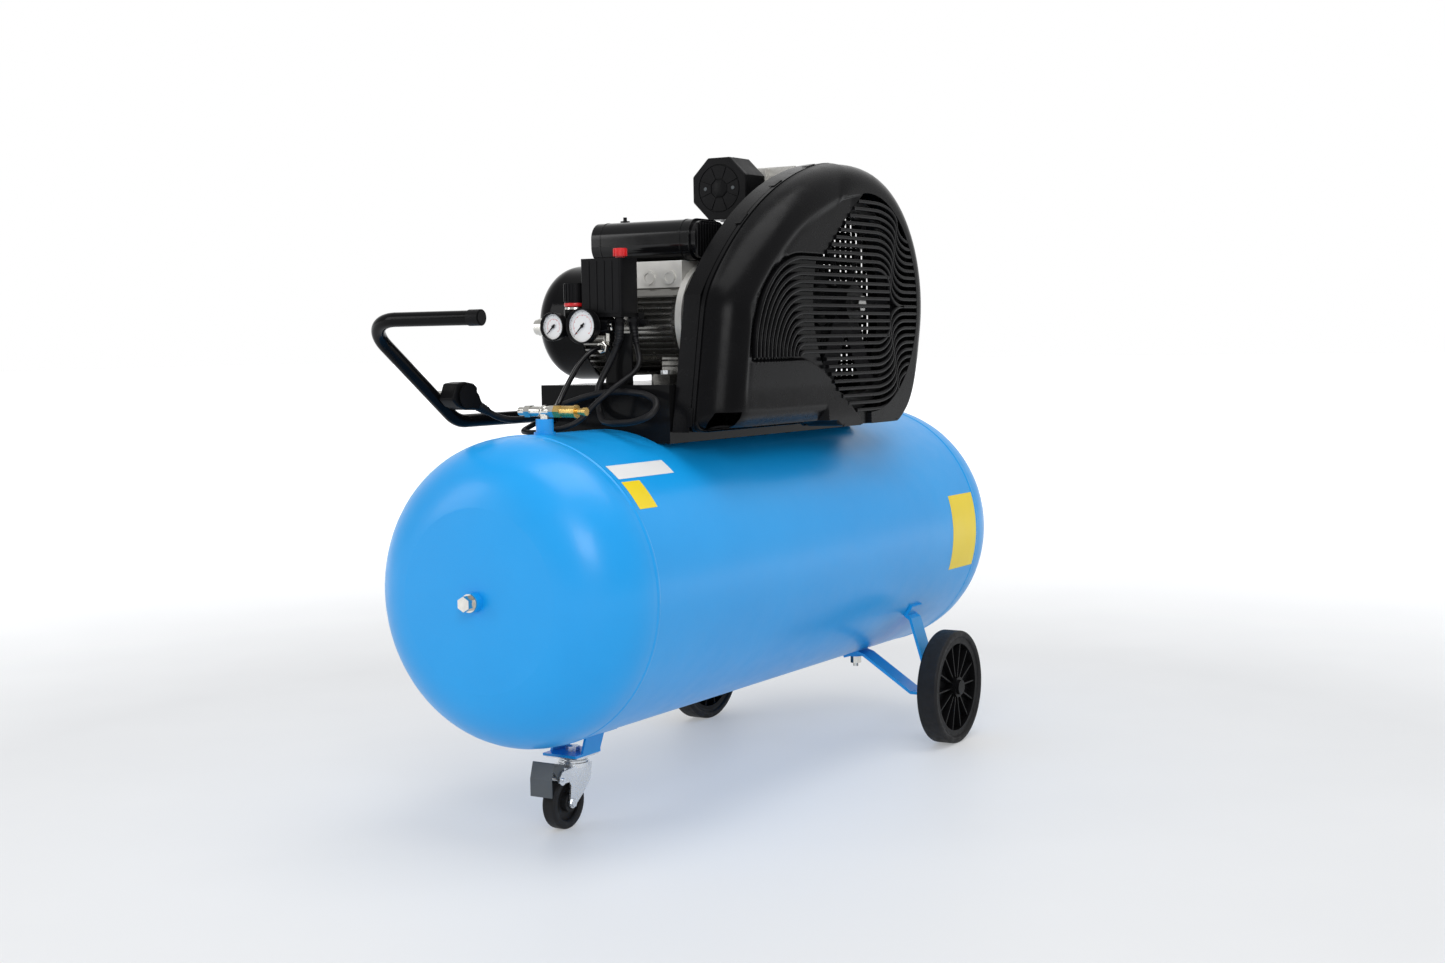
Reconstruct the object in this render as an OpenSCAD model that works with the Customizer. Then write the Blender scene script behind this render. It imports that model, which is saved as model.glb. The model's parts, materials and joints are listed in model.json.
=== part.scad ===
// Belt-driven piston air compressor on a wheeled 200 litre receiver.
// X runs along the receiver with the handle and the caster at -X, the belt guard is at -Y, Z is up.

/* [Receiver] */
// Outer radius of the receiver
tank_r = 225; // [215:1:235]
// Height of the receiver's axis above the floor
tank_z = 363; // [355:1:370]
// Length of the cylindrical shell
shell_len = 1088; // [1040:2:1140]
// Sheet thickness of the shell and the heads
tank_wall = 3; // [2:0.5:5]

/* [Running gear] */
// Radius of the two big wheels
wheel_r = 100; // [90:1:105]
// Width of the big tyres
tyre_w = 38; // [30:1:42]
// Radius of the caster wheel
caster_r = 40; // [35:1:42]
// Number of ribs on each big wheel
wheel_ribs = 14; // [8:1:20]

/* [Motor] */
// Radius over the motor's cooling fins
motor_r = 91; // [85:1:95]
// Pitch of the cooling fins
fin_pitch = 9; // [7:0.5:12]

/* [Belt drive] */
// Pitch radius of the flywheel
flywheel_pitch_r = 172; // [150:1:176]
// Pitch radius of the motor pulley
pulley_pitch_r = 68; // [50:1:74]
// Number of flywheel spokes
spokes = 6; // [4:1:8]

/* [Pump] */
// Bore radius of the two cylinders
bore_r = 32; // [30:0.5:34]
// Distance between the two cylinders
bore_gap = 76; // [75:1:78]
// Half of the piston stroke
throw = 22; // [18:1:24]

/* [Hidden] */
$fn = 64;

// Receiver heads: knuckle and crown radii, and the short straight skirt
knuckle_r = 104;
crown_r = 1350;
skirt = 13;
crown_z = skirt - sqrt(pow(crown_r - knuckle_r, 2) - pow(tank_r - knuckle_r, 2));
head_depth = crown_z + crown_r;
half_shell = shell_len / 2;
tank_top = tank_z + tank_r;
boss_bore = 8.3;
boss_x = -495;
boss_top = 610;
check_x = 330;
check_y = 60;
drain_x = 390;
drain_y = -48;

// Running gear
wheel_x = 347;
wheel_y = 257;
bracket_y = 219;
bracket_w = 40;
bar_t = 5;
axle_r = 7.5;
caster_swivel_x = -443;
caster_axle_x = -470;
caster_top = 108;
pedal_pivot = [-494, 79];

// Platform
plat_x0 = -342;
plat_x1 = 280;
plat_y = 118;
plat_z = 655;
plat_skirt = 567;
sheet = 3;

// Handle
bar_r = 10;
handle_y = 136;
handle_z = 607;
grip_x = -728;
grip_z = 755;
grip_end = -69;

// Drive: shaft centres in the XZ plane and the plane of the belt
crank_x = 122;
crank_z = 778;
motor_x = -168;
motor_z = 752;
belt_y = -172;
guard_back = -122;
guard_split = -151;
guard_face = -220;
belt_top_w = 13;
belt_low_w = 8.4;
belt_h = 8;
groove_gap = 0.3;
bar_pitch = 13.6;

// Pump
pump_bolt_x = 69;
cyl_y0 = -72;
cyl_y1 = cyl_y0 + bore_gap;
deck_z = 842;
block_top = 972;
head_z0 = block_top + 6;
head_z1 = 1008;
case_y0 = -112;
case_y1 = 52;
block_end = 36;
feet_y = [-92, 30];

// Switch and regulator group
switch_x0 = -340;
switch_x1 = -292;
manifold_x = -326;
manifold_z = 745;
dial_x = -360;

// Mains cord: down from its gland, round one loop in front of the platform and on to the plug
cord_d = 10;
cord_path = [
  [-326, -20, 744], [-326, -19, 726], [-328, -12, 706], [-333, -3, 684], [-342, 3, 665],
  [-349, 6, 648], [-350, 5, 631], [-355, 0, 616], [-367, -12, 605], [-384, -36, 600],
  [-395, -66, 600], [-395, -96, 604], [-386, -115, 614], [-372, -114, 628], [-362, -95, 639],
  [-358, -64, 644], [-359, -30, 645], [-362, 4, 641], [-364, 36, 633], [-369, 64, 624],
  [-384, 83, 615], [-406, 91, 609], [-432, 92, 606], [-456, 95, 607], [-474, 102, 612],
  [-490, 108, 620], [-508, 111, 629]
];

// Plug: the pins rest on the handle, and the cord leaves towards the receiver
plug_centre = [-556, 645];
plug_back = 96;
plug_face = 124;
pin_gap = 19;
pin_r = 2.4;
relief_start = [-524, 111, 637];

// Motor cable: down from the second gland, over the receiver and in through the platform's end
motor_cable_d = 8;
motor_cable_path = [
  [-300, -28, 744], [-300, -30, 726], [-304, -38, 706], [-315, -47, 688], [-335, -51, 674],
  [-357, -48, 663], [-379, -38, 648], [-397, -20, 627], [-411, -5, 606], [-428, 10, 595],
  [-446, 27, 591], [-455, 47, 588], [-451, 67, 588], [-436, 83, 589], [-412, 92, 593],
  [-386, 94, 599], [-362, 94, 602], [-334, 94, 602]
];

// Pressure tube between the receiver's tee and the regulator
pressure_tube_d = 8;
pressure_tube_path = [
  [-343, 2, 712], [-354, 2, 711], [-372, 4, 704], [-392, 8, 689], [-410, 10, 670],
  [-427, 11, 651], [-443, 10, 634], [-457, 6, 625], [-468, 1, 622], [-478, 0, 621]
];

// Moves the model so that its origin is on the floor under the middle of its box
rear_end = half_shell + head_depth + 26;
front_end = grip_x - bar_r - 1;
origin_shift = [-(rear_end + front_end) / 2, 0, 0];

// ---------- helpers ----------

// Round bar along X, Y or Z between two stations
module bar_x(y, z, x0, x1, r) translate([x0, y, z]) rotate([0, 90, 0]) cylinder(r = r, h = x1 - x0);
module bar_y(x, z, y0, y1, r) translate([x, y0, z]) rotate([-90, 0, 0]) cylinder(r = r, h = y1 - y0);
module bar_z(x, y, z0, z1, r) translate([x, y, z0]) cylinder(r = r, h = z1 - z0);

// Box from its lowest corner to its highest corner
module block(a, b) translate(a) cube(b - a);

// Hexagon nut along X, Y or Z; af is the width across flats
module hex_x(y, z, x0, x1, af)
  translate([x0, y, z]) rotate([0, 90, 0]) cylinder(r = af / sqrt(3), h = x1 - x0, $fn = 6);
module hex_y(x, z, y0, y1, af)
  translate([x, y0, z]) rotate([-90, 0, 0]) cylinder(r = af / sqrt(3), h = y1 - y0, $fn = 6);
module hex_z(x, y, z0, z1, af) translate([x, y, z0]) cylinder(r = af / sqrt(3), h = z1 - z0, $fn = 6);

// An XZ outline extruded along Y, and a YZ outline extruded along X
module along_y(y0, y1) translate([0, y1, 0]) rotate([90, 0, 0]) linear_extrude(y1 - y0) children();
module along_x(x0, x1) translate([x0, 0, 0]) rotate([90, 0, 90]) linear_extrude(x1 - x0) children();

// Flat strip of thickness t that follows a list of points, with round bends
module strip(points, t) {
  for (i = [0 : len(points) - 2])
    let (a = points[i], b = points[i + 1], d = b - a)
      translate(a) rotate(atan2(d.y, d.x)) translate([0, -t / 2]) square([norm(d), t]);
  for (i = [1 : len(points) - 2]) translate(points[i]) circle(t / 2);
}

// Rectangle with round corners, from corner a to corner b
module soft_rect(a, b, r) {
  translate([a.x + r, a.y]) square([b.x - a.x - 2 * r, b.y - a.y]);
  translate([a.x, a.y + r]) square([b.x - a.x, b.y - a.y - 2 * r]);
  for (x = [a.x + r, b.x - r], y = [a.y + r, b.y - r]) translate([x, y]) circle(r);
}

// Tube swept along a list of points, as one closed polyhedron
function unit(v) = v / norm(v);
function heading(p, i) = unit(p[min(i + 1, len(p) - 1)] - p[max(i - 1, 0)]);
function side_of(d) = abs(d.z) < 0.9 ? unit(cross(d, [0, 0, 1])) : unit(cross(d, [0, 1, 0]));
function ring(p, i, r, sides, s) =
  let (d = heading(p, i), u = unit(s - d * (s * d)), v = cross(d, u))
    [for (k = [0 : sides - 1]) p[i] + r * (cos(360 * k / sides) * u + sin(360 * k / sides) * v)];
function frames(p) =
  [for (i = 0, s = side_of(heading(p, 0)); i < len(p);
        i = i + 1, s = i < len(p) ? unit(s - heading(p, i) * (s * heading(p, i))) : s) s];
module swept_tube(p, r, sides = 8) {
  f = frames(p);
  n = len(p);
  points = [for (i = [0 : n - 1]) each ring(p, i, r, sides, f[i])];
  walls = [for (i = [0 : n - 2], k = [0 : sides - 1])
    let (a = i * sides + k, b = i * sides + (k + 1) % sides) each
      [[a, b + sides, b], [a, a + sides, b + sides]]];
  caps = [[for (k = [0 : sides - 1]) k], [for (k = [sides - 1 : -1 : 0]) (n - 1) * sides + k]];
  polyhedron(points, concat(walls, caps), convexity = 8);
}

// ---------- receiver ----------

// Solid outline of a head in (radius, height), shrunk by t all round
module head_outline(t) {
  slope = (tank_r - knuckle_r) / -(crown_z - skirt);
  intersection() {
    square([tank_r, head_depth]);
    union() {
      square([tank_r - t, skirt]);
      translate([tank_r - knuckle_r, skirt]) circle(knuckle_r - t, $fn = 96);
      intersection() {
        translate([0, crown_z]) circle(crown_r - t, $fn = 360);
        polygon([[0, 0], [-crown_z * slope, 0],
                 [(head_depth - crown_z) * slope, head_depth], [0, head_depth]]);
      }
    }
  }
}

module one_head() {
  difference() {
    union() {
      rotate_extrude($fn = 128) difference() {
        head_outline(0);
        head_outline(tank_wall);
      }
      translate([0, 0, head_depth - 6]) cylinder(r = 14, h = 18);
    }
    translate([0, 0, head_depth - 20]) cylinder(r = boss_bore, h = 60);
  }
}

module tank_heads() color("dodgerblue") {
  translate([half_shell, 0, tank_z]) rotate([0, 90, 0]) one_head();
  translate([-half_shell, 0, tank_z]) rotate([0, -90, 0]) one_head();
}

// Weld bead round each end of the shell
module bead(x) translate([x, 0, tank_z]) rotate([0, 90, 0]) rotate_extrude($fn = 128)
  intersection() {
    translate([tank_r - 6.8, 0]) circle(8);
    translate([tank_r - 1, -10]) square([10, 20]);
  }

module tank_shell() color("dodgerblue") {
  difference() {
    union() {
      bar_x(0, tank_z, -half_shell, half_shell, tank_r, $fn = 128);
      bead(-half_shell);
      bead(half_shell);
      bar_z(boss_x, 0, tank_top - 12, boss_top, 13);
      bar_z(boss_x, 0, tank_top - 12, tank_top + 3, 16);
      bar_z(check_x, check_y, tank_top - 20, 598, 17);
      bar_z(drain_x, drain_y, 134, 150, 13);
    }
    bar_x(0, tank_z, -half_shell - 20, half_shell + 20, tank_r - tank_wall, $fn = 128);
    bar_z(boss_x, 0, tank_top - 40, boss_top + 1, boss_bore);
    bar_z(check_x, check_y, tank_top - 60, 610, 10);
    bar_z(drain_x, drain_y, 120, 170, 6.6);
  }
}

module head_plugs() color("silver") {
  plug_x = half_shell + head_depth + 12;
  for (s = [-1, 1]) {
    x = s * plug_x;
    bar_x(0, tank_z, min(x, x - s * 12), max(x, x - s * 12), boss_bore - 0.1);
    bar_x(0, tank_z, min(x, x + s * 2), max(x, x + s * 2), 13);
    hex_x(0, tank_z, min(x + s * 2, x + s * 14), max(x + s * 2, x + s * 14), 19);
  }
}

// ---------- running gear ----------

// Stretch of flat bar that lies against the receiver, between two angles in its YZ section
module strap(a0, a1) {
  far = 2 * tank_r;
  translate([0, tank_z]) intersection() {
    difference() {
      circle(tank_r + bar_t, $fn = 128);
      circle(tank_r, $fn = 128);
    }
    polygon([[0, 0], far * [cos(a0), sin(a0)], far * [cos(a1), sin(a1)]]);
  }
}

// Centre line point of such a strap at angle a
function on_strap(a) = (tank_r + bar_t / 2) * [cos(a), sin(a)] + [0, tank_z];

// One flat-bar leg: strap under the receiver, strut, foot, and an upright with a hooked strap
module wheel_leg(s) {
  strut_top = [96, 147];
  low = [bracket_y - 30, 86];
  foot = [bracket_y + 2, 86];
  up = [190, 218];
  difference() {
    along_x(wheel_x - bracket_w / 2, wheel_x + bracket_w / 2) scale([s, 1]) {
      strap(-76, -68);
      strap(-38, -32);
      difference() {
        strip([on_strap(-68.5), strut_top, low, foot, [bracket_y + 1, 120], up, on_strap(-37.5)], bar_t);
        translate([0, tank_z]) circle(tank_r, $fn = 128);
      }
    }
    bar_y(wheel_x, wheel_r, min(s * 200, s * 260), max(s * 200, s * 260), axle_r);
  }
}

module wheel_brackets() color("dodgerblue") {
  wheel_leg(-1);
  wheel_leg(1);
}

// Shoulder bolt through the upright, with its head inside and a nut outside
module wheel_axle() {
  hex_y(wheel_x, wheel_r, bracket_y - 12, bracket_y - 2.5, 22);
  bar_y(wheel_x, wheel_r, bracket_y - 3, wheel_y + 21, axle_r);
}

module wheel_axles() color("silver") {
  wheel_axle();
  mirror([0, 1, 0]) wheel_axle();
}

// Section of the tyre in (radius, width)
module tyre_section() difference() {
  union() {
    translate([wheel_r - 17, -tyre_w / 2 + 4]) square([11, tyre_w - 8]);
    translate([wheel_r - 12, 0]) soft_rect([0, -tyre_w / 2], [12, tyre_w / 2], 5);
  }
  translate([wheel_r - 20, -tyre_w / 2 + 7]) square([5, tyre_w - 14]);
}

module one_tyre() translate([wheel_x, wheel_y, wheel_r]) rotate([90, 0, 0])
  rotate_extrude($fn = 96) tyre_section();

module one_wheel() translate([wheel_x, wheel_y, wheel_r]) rotate([-90, 0, 0]) difference() {
  union() {
    rotate_extrude($fn = 96) union() {
      translate([wheel_r - 23, -tyre_w / 2 + 7]) square([8, tyre_w - 14]);
      translate([wheel_r - 23, -tyre_w / 2 + 4]) square([6, tyre_w - 8]);
      translate([0, -2]) square([wheel_r - 20, 4]);
      translate([0, -18]) square([18, 36]);
      translate([0, 0]) square([13, 23]);
    }
    for (a = [0 : wheel_ribs - 1]) rotate(360 * a / wheel_ribs)
      translate([15, -1.2, -13]) cube([wheel_r - 36, 2.4, 26]);
  }
  translate([0, 0, -30]) cylinder(r = axle_r + 0.06, h = 51.2);
}

module wheel_right() color("dimgray") one_wheel();
module tyre_right() color("black") one_tyre();
module wheel_left() color("dimgray") mirror([0, 1, 0]) one_wheel();
module tyre_left() color("black") mirror([0, 1, 0]) one_tyre();

// Folded channel that carries the caster under the front end of the shell
module caster_bracket() color("dodgerblue") difference() {
  union() {
    block([-478, -30, caster_top], [-414, 30, caster_top + 4]);
    for (s = [-1, 1]) along_y(s > 0 ? 26 : -30, s > 0 ? 30 : -26)
      polygon([[-461, caster_top], [-417, caster_top], [-398, 146], [-446, 146]]);
    intersection() {
      translate([0, 0, tank_z]) rotate([0, 90, 0])
        translate([0, 0, -535]) cylinder(r = tank_r + 3.5, h = 200, $fn = 128);
      block([-492, -42, 120], [-386, 42, 170]);
    }
  }
  bar_x(0, tank_z, -560, -300, tank_r, $fn = 128);
  bar_z(caster_swivel_x, 0, caster_top - 1, caster_top + 10, 6.5);
}

module caster_plate() color("silver") {
  block([caster_swivel_x - 30, -28, caster_top - 3], [caster_swivel_x + 26, 28, caster_top]);
  bar_z(caster_swivel_x, 0, 80, caster_top + 9, 6);
  hex_z(caster_swivel_x, 0, caster_top + 4, caster_top + 11, 19);
  bar_z(caster_swivel_x, 0, 96.3, 99.3, 22);
  bar_z(caster_swivel_x, 0, 96.3, caster_top - 2.5, 18);
  bar_z(caster_swivel_x, 0, 101.5, caster_top - 2.5, 22);
  bar_z(caster_swivel_x, 0, 80, 83.5, 11);
}

// Side plate of the fork: swivel lug, brake lug and leg
module fork_side() {
  difference() {
    union() {
      polygon([[-498, 73], [-478, 73], [-474, 66], [-477, 38], [-463, 36], [-443, 50], [-424, 68],
               [-420, 93], [-470, 93], [-495, 91], [-501, 84]]);
      translate([caster_axle_x, caster_r]) circle(8);
      translate(pedal_pivot) circle(8);
    }
    translate([caster_axle_x, caster_r]) circle(4);
    translate(pedal_pivot) circle(3);
  }
}

module caster_fork() color("lightgray") {
  difference() {
    union() {
      for (y = [-18, 15.5]) along_y(y, y + 2.5) fork_side();
      block([-466, -18, 90], [-421, 18, 93]);
      bar_z(caster_swivel_x, 0, 90, 96, 25);
    }
    bar_z(caster_swivel_x, 0, 80, 110, 6.06);
    bar_z(caster_swivel_x, 0, 70, 90, 12);
  }
  bar_y(caster_axle_x, caster_r, -21, 21, 4);
  bar_y(pedal_pivot.x, pedal_pivot.y, -21, 21, 3);
  for (s = [-1, 1]) hex_y(caster_axle_x, caster_r, s > 0 ? 18 : -21, s > 0 ? 21 : -18, 11);
}

module caster_wheel() color("black")
  translate([caster_axle_x, 0, caster_r]) rotate([90, 0, 0]) difference() {
    rotate_extrude($fn = 96) union() {
      translate([6, -14]) square([8, 28]);
      translate([8, -4]) square([22, 8]);
      soft_rect([27, -11.5], [caster_r, 11.5], 5);
    }
    translate([0, 0, -20]) cylinder(r = 4.06, h = 40);
  }

// Folded foot pedal of the brake, hinged on the fork's brake lug
module caster_brake() color("dimgray") {
  difference() {
    for (y = [-14.7, 12.2]) along_y(y, y + 2.5) union() {
      translate(pedal_pivot) circle(6);
      polygon([[-500, 79], [-488, 79], [-486, 90], [-488, 99], [-517, 107], [-517, 100]]);
    }
    bar_y(pedal_pivot.x, pedal_pivot.y, -30, 30, 3.06);
  }
  along_y(-14.7, 14.7) strip([[-486, 98], [-517, 107]], 2.5);
  along_y(-19, 19) strip([[-500, 102.2], [-517, 107], [-524, 84], [-524, 58]], 2.5);
}

// ---------- platform and handle ----------

module platform() color("black") {
  difference() {
    union() {
      block([plat_x0, -plat_y, plat_z - sheet], [plat_x1, plat_y, plat_z]);
      for (s = [-1, 1])
        along_y(s > 0 ? plat_y - sheet : -plat_y, s > 0 ? plat_y : sheet - plat_y)
          soft_rect([plat_x0, plat_skirt], [plat_x1, plat_z], 6);
      for (x = [plat_x0, plat_x1 - sheet])
        along_x(x, x + sheet) difference() {
          translate([-plat_y, plat_skirt]) square([2 * plat_y, plat_z - plat_skirt]);
          translate([0, tank_z]) circle(tank_r, $fn = 128);
        }
    }
    for (x = [motor_x - 70, motor_x + 70], y = [-45, 45]) bar_z(x, y, 640, 660, 4.5);
    for (x = [crank_x - pump_bolt_x, crank_x + pump_bolt_x], y = feet_y) bar_z(x, y, 640, 660, 5.5);
    bar_x(94, 602, plat_x0 - 5, plat_x0 + 5, 6);
  }
  // Upright bracket that carries the switch and the regulator
  block([-318, -36, plat_z], [-315, 12, manifold_z - 12]);
  block([-330, -36, plat_z], [-315, 12, plat_z + 3]);
}

// Hexagon bolts of the motor feet and the pump feet
module mounting_bolts() color("silver") {
  for (x = [motor_x - 70, motor_x + 70], y = [-45, 45]) {
    hex_z(x, y, plat_z + 14, plat_z + 20, 13);
    bar_z(x, y, 642, plat_z + 15, 4);
    hex_z(x, y, plat_z - 10, plat_z - sheet, 13);
  }
  for (x = [crank_x - pump_bolt_x, crank_x + pump_bolt_x], y = feet_y) {
    hex_z(x, y, plat_z + 14, plat_z + 21, 17);
    bar_z(x, y, 640, plat_z + 15, 5);
    hex_z(x, y, plat_z - 11, plat_z - sheet, 17);
  }
}

// Corner points of the handle's centre line and the radius of its two bends
handle_points = [[-120, handle_y, handle_z], [-528, handle_y, handle_z],
                 [grip_x, handle_y, grip_z], [grip_x, grip_end, grip_z]];
handle_bend_r = 60;

// Where a bend of radius r at corner b starts, on the side of a
function bend_start(a, b, c, r) =
  let (half = acos(unit(a - b) * unit(c - b)) / 2) b + unit(a - b) * r / tan(half);

// Round bend of the tube at corner b, between the directions to a and to c
module tube_bend(a, b, c, r) {
  u = unit(a - b);
  v = unit(c - b);
  centre = b + unit(u + v) * r / sin(acos(u * v) / 2);
  e1 = unit(bend_start(a, b, c, r) - centre);
  e3 = unit(cross(v, u));
  e2 = cross(e3, e1);
  multmatrix([[e1.x, e2.x, e3.x, centre.x], [e1.y, e2.y, e3.y, centre.y],
              [e1.z, e2.z, e3.z, centre.z], [0, 0, 0, 1]])
    rotate_extrude(angle = 180 - acos(u * v)) translate([r, 0]) circle(bar_r);
}

// Round bar between two points
module straight_run(a, b, r) {
  d = b - a;
  translate(a) rotate([0, acos(d.z / norm(d)), atan2(d.y, d.x)]) cylinder(r = r, h = norm(d));
}

// The straight runs enter the bends by a millimetre and are a hair thinner, so each joint is closed
module handle_tube() color("black") {
  p = handle_points;
  r = handle_bend_r;
  enter = 1;
  run_r = bar_r - 0.03;
  low_end = bend_start(p[0], p[1], p[2], r);
  rise_start = bend_start(p[2], p[1], p[0], r);
  rise_end = bend_start(p[1], p[2], p[3], r);
  grip_start = bend_start(p[3], p[2], p[1], r);
  straight_run(p[0], low_end + enter * unit(p[1] - p[0]), run_r);
  tube_bend(p[0], p[1], p[2], r);
  straight_run(rise_start + enter * unit(p[1] - p[2]), rise_end + enter * unit(p[2] - p[1]), run_r);
  tube_bend(p[1], p[2], p[3], r);
  straight_run(grip_start + enter * unit(p[2] - p[3]), p[3], run_r);
  for (x = [-300, -160]) block([x - 15, plat_y, handle_z - 15], [x + 15, handle_y, handle_z + 15]);
}

module handle_cap() color("black") difference() {
  union() {
    bar_y(grip_x, grip_z, grip_end - 3, grip_end + 16, bar_r + 1);
    bar_y(grip_x, grip_z, grip_end - 4.5, grip_end - 3, bar_r - 1);
  }
  bar_y(grip_x, grip_z, grip_end, grip_end + 30, bar_r);
}

// ---------- belt guard ----------

// Outline of the guard in XZ, shrunk by a at the back and top and by b round the flywheel
module guard_outline(a, b) {
  low = 583 + min(a, 6);
  union() {
    intersection() {
      translate([crank_x, crank_z]) circle(232 - b, $fn = 96);
      translate([-400, low]) square([800, 600]);
    }
    intersection() {
      translate([167, 415]) circle(601 - a, $fn = 160);
      polygon([[-343 + a, low], [-303 + a, 790], [-285 + a, 1100], [93, 1100], [93, low]]);
    }
  }
}

// Shell body as a blend through its outlines
module guard_body(shrink) hull() {
  stations = [[guard_split + 5, 0, 0], [-180, 3, 3], [-202, 16, 12], [-214, 36, 25], [guard_face, 64, 44]];
  for (s = stations) along_y(s[0] + shrink, s[0] + shrink + 0.5) guard_outline(s[1] + shrink, s[2] + shrink);
}

module guard_front() color([0.12, 0.12, 0.12]) {
  difference() {
    guard_body(0);
    difference() {
      guard_body(3);
      along_y(-500, guard_face + 3) square(2000, center = true);
    }
    along_y(guard_split, guard_split + 20) translate([0, 800]) square(900, center = true);
    translate([0, 1, 0]) along_y(guard_split - 3, guard_split) guard_outline(3, 3);
    bar_y(crank_x, crank_z, guard_face - 10, guard_face + 10, 176);
    block([-330, -225, 588], [-272, -160, 611]);
  }
  intersection() {
    bar_y(crank_x, crank_z, guard_face + 0.4, guard_face + 6, 177);
    union() for (i = [-12 : 12])
      let (z = crank_z + i * bar_pitch)
        block([crank_x - 200, guard_face, z - 1.8], [crank_x + 200, -200, z + 1.8]);
  }
}

// Air slots of the rear shell, in a ring round the crankshaft
module air_slots() intersection() {
  difference() {
    translate([crank_x, crank_z]) circle(190);
    translate([crank_x, crank_z]) circle(56);
  }
  for (i = [-9 : 9]) translate([crank_x + i * 20 - 5, crank_z - 200]) square([10, 400]);
}

module guard_rear() color([0.12, 0.12, 0.12]) difference() {
  union() {
    along_y(guard_split, guard_back) difference() {
      guard_outline(1, 1);
      guard_outline(4, 4);
    }
    along_y(guard_back - 3, guard_back) guard_outline(2, 2);
  }
  along_y(-140, -110) air_slots();
  bar_y(crank_x, crank_z, -140, -110, 42);
  bar_y(motor_x, motor_z, -140, -110, 42);
}

// ---------- motor ----------

// Horizontal cooling fins on both sides, with a smooth barrel inside
module motor_frame() color("silver") {
  difference() {
    union() {
      bar_y(motor_x, motor_z, -75, 105, 80, $fn = 96);
      difference() {
        intersection() {
          bar_y(motor_x, motor_z, -70, 100, motor_r, $fn = 96);
          for (i = [-9 : 4]) translate([motor_x - 100, -70, motor_z + i * fin_pitch]) cube([200, 170, 2.5]);
        }
        block([-236, -90, 802.5], [-100, 96, 850]);
      }
      for (y = [-60, 30]) difference() {
        block([motor_x - 82, y, plat_z], [motor_x + 82, y + 30, plat_z + 55]);
        block([motor_x - 50, y - 1, plat_z - 1], [motor_x + 50, y + 31, plat_z + 12]);
        for (s = [-1, 1])
          block([motor_x + s * 74 - 18, y - 1, plat_z + 14], [motor_x + s * 74 + 18, y + 31, 720]);
      }
    }
    bar_y(motor_x, motor_z, -80, 110, 74, $fn = 96);
    for (x = [motor_x - 70, motor_x + 70], y = [-45, 45]) bar_z(x, y, 640, 680, 4.5);
  }
}

module motor_stator() color("peru") {
  difference() {
    bar_y(motor_x, motor_z, -45, 75, 73.9, $fn = 96);
    bar_y(motor_x, motor_z, -50, 80, 42);
  }
  for (y = [-62, 75]) difference() {
    bar_y(motor_x, motor_z, y, y + 17, 66);
    bar_y(motor_x, motor_z, y - 1, y + 18, 46);
  }
}

module motor_rotor() color("gray") {
  bar_y(motor_x, motor_z, -45, 75, 41.4);
  bar_y(motor_x, motor_z, -74, 106, 12);
  bar_y(motor_x, motor_z, -194, -74, 11);
  bar_y(motor_x, motor_z, 106, 145, 9);
}

// A ball bearing ring pair drawn as one turned piece
module bearing(x, z, y, inner, outer, w) difference() {
  bar_y(x, z, y, y + w, outer);
  bar_y(x, z, y - 1, y + w + 1, inner);
  difference() {
    bar_y(x, z, y - 1, y + 1.2, outer - 3);
    bar_y(x, z, y - 2, y + 2, inner + 3);
  }
}

module ball_bearings() color("lightgray") {
  bearing(motor_x, motor_z, -90, 11.06, 23, 14);
  bearing(motor_x, motor_z, 108.5, 9.06, 20, 12);
  bearing(crank_x, crank_z, case_y0 - 14, 12.56, 26, 15);
  bearing(crank_x, crank_z, case_y1 - 15, 12.56, 26, 13);
}

module motor_shields() color("gainsboro") {
  difference() {
    union() {
      bar_y(motor_x, motor_z, -86, -75, 88);
      bar_y(motor_x, motor_z, -94, -80, 32);
      bar_y(motor_x, motor_z, -75, -68, 73.9);
    }
    bar_y(motor_x, motor_z, -90.05, -60, 23);
    bar_y(motor_x, motor_z, -100, -60, 14);
    bar_y(motor_x, motor_z, -82, -60, 60);
  }
  difference() {
    union() {
      bar_y(motor_x, motor_z, 105, 114, 86);
      bar_y(motor_x, motor_z, 105, 123, 28);
    }
    bar_y(motor_x, motor_z, 100, 120.6, 20);
    bar_y(motor_x, motor_z, 100, 130, 12);
  }
}

module motor_fan() color("black") {
  difference() {
    union() {
      bar_y(motor_x, motor_z, 124, 127, 70);
      bar_y(motor_x, motor_z, 124, 148, 16);
      for (a = [0 : 7]) translate([motor_x, 0, motor_z]) rotate([0, a * 45, 0])
        block([12, 126, -1.2], [70, 152, 1.2]);
    }
    bar_y(motor_x, motor_z, 120, 146, 9);
  }
}

// Domed cowl over the cooling fan, open at the motor end, with air slots in its end
module cowl_solid(t) {
  bar_y(motor_x, motor_z, 100 - t, 155, 92 - t);
  translate([motor_x, 155, motor_z]) rotate([-90, 0, 0]) rotate_extrude() intersection() {
    square([92 - t, 45 - t]);
    union() {
      square([50, 45 - t]);
      translate([47, 0]) circle(45 - t);
    }
  }
}

module fan_cowl() color([0.1, 0.1, 0.1]) difference() {
  cowl_solid(0);
  cowl_solid(1.5);
  bar_y(motor_x, motor_z, 90, 100, 95);
  for (i = [-4 : 4])
    block([motor_x - 36, 190, motor_z + i * 9 - 2], [motor_x + 36, 210, motor_z + i * 9 + 2]);
}

// Aluminium terminal base between the motor and the capacitor box, with two knock-outs
module terminal_base() color("gainsboro") difference() {
  union() {
    block([-232, -74.5, 803], [-110, 92, 844]);
    for (y = [-52, -14]) bar_x(y, 819, -236, -231, 11);
  }
  bar_y(motor_x, motor_z, -100, 110, 80.05, $fn = 96);
  block([-226, -69, 832], [-116, 86, 850]);
  for (y = [-52, -14]) bar_x(y, 819, -237, -234.5, 7);
}

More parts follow.
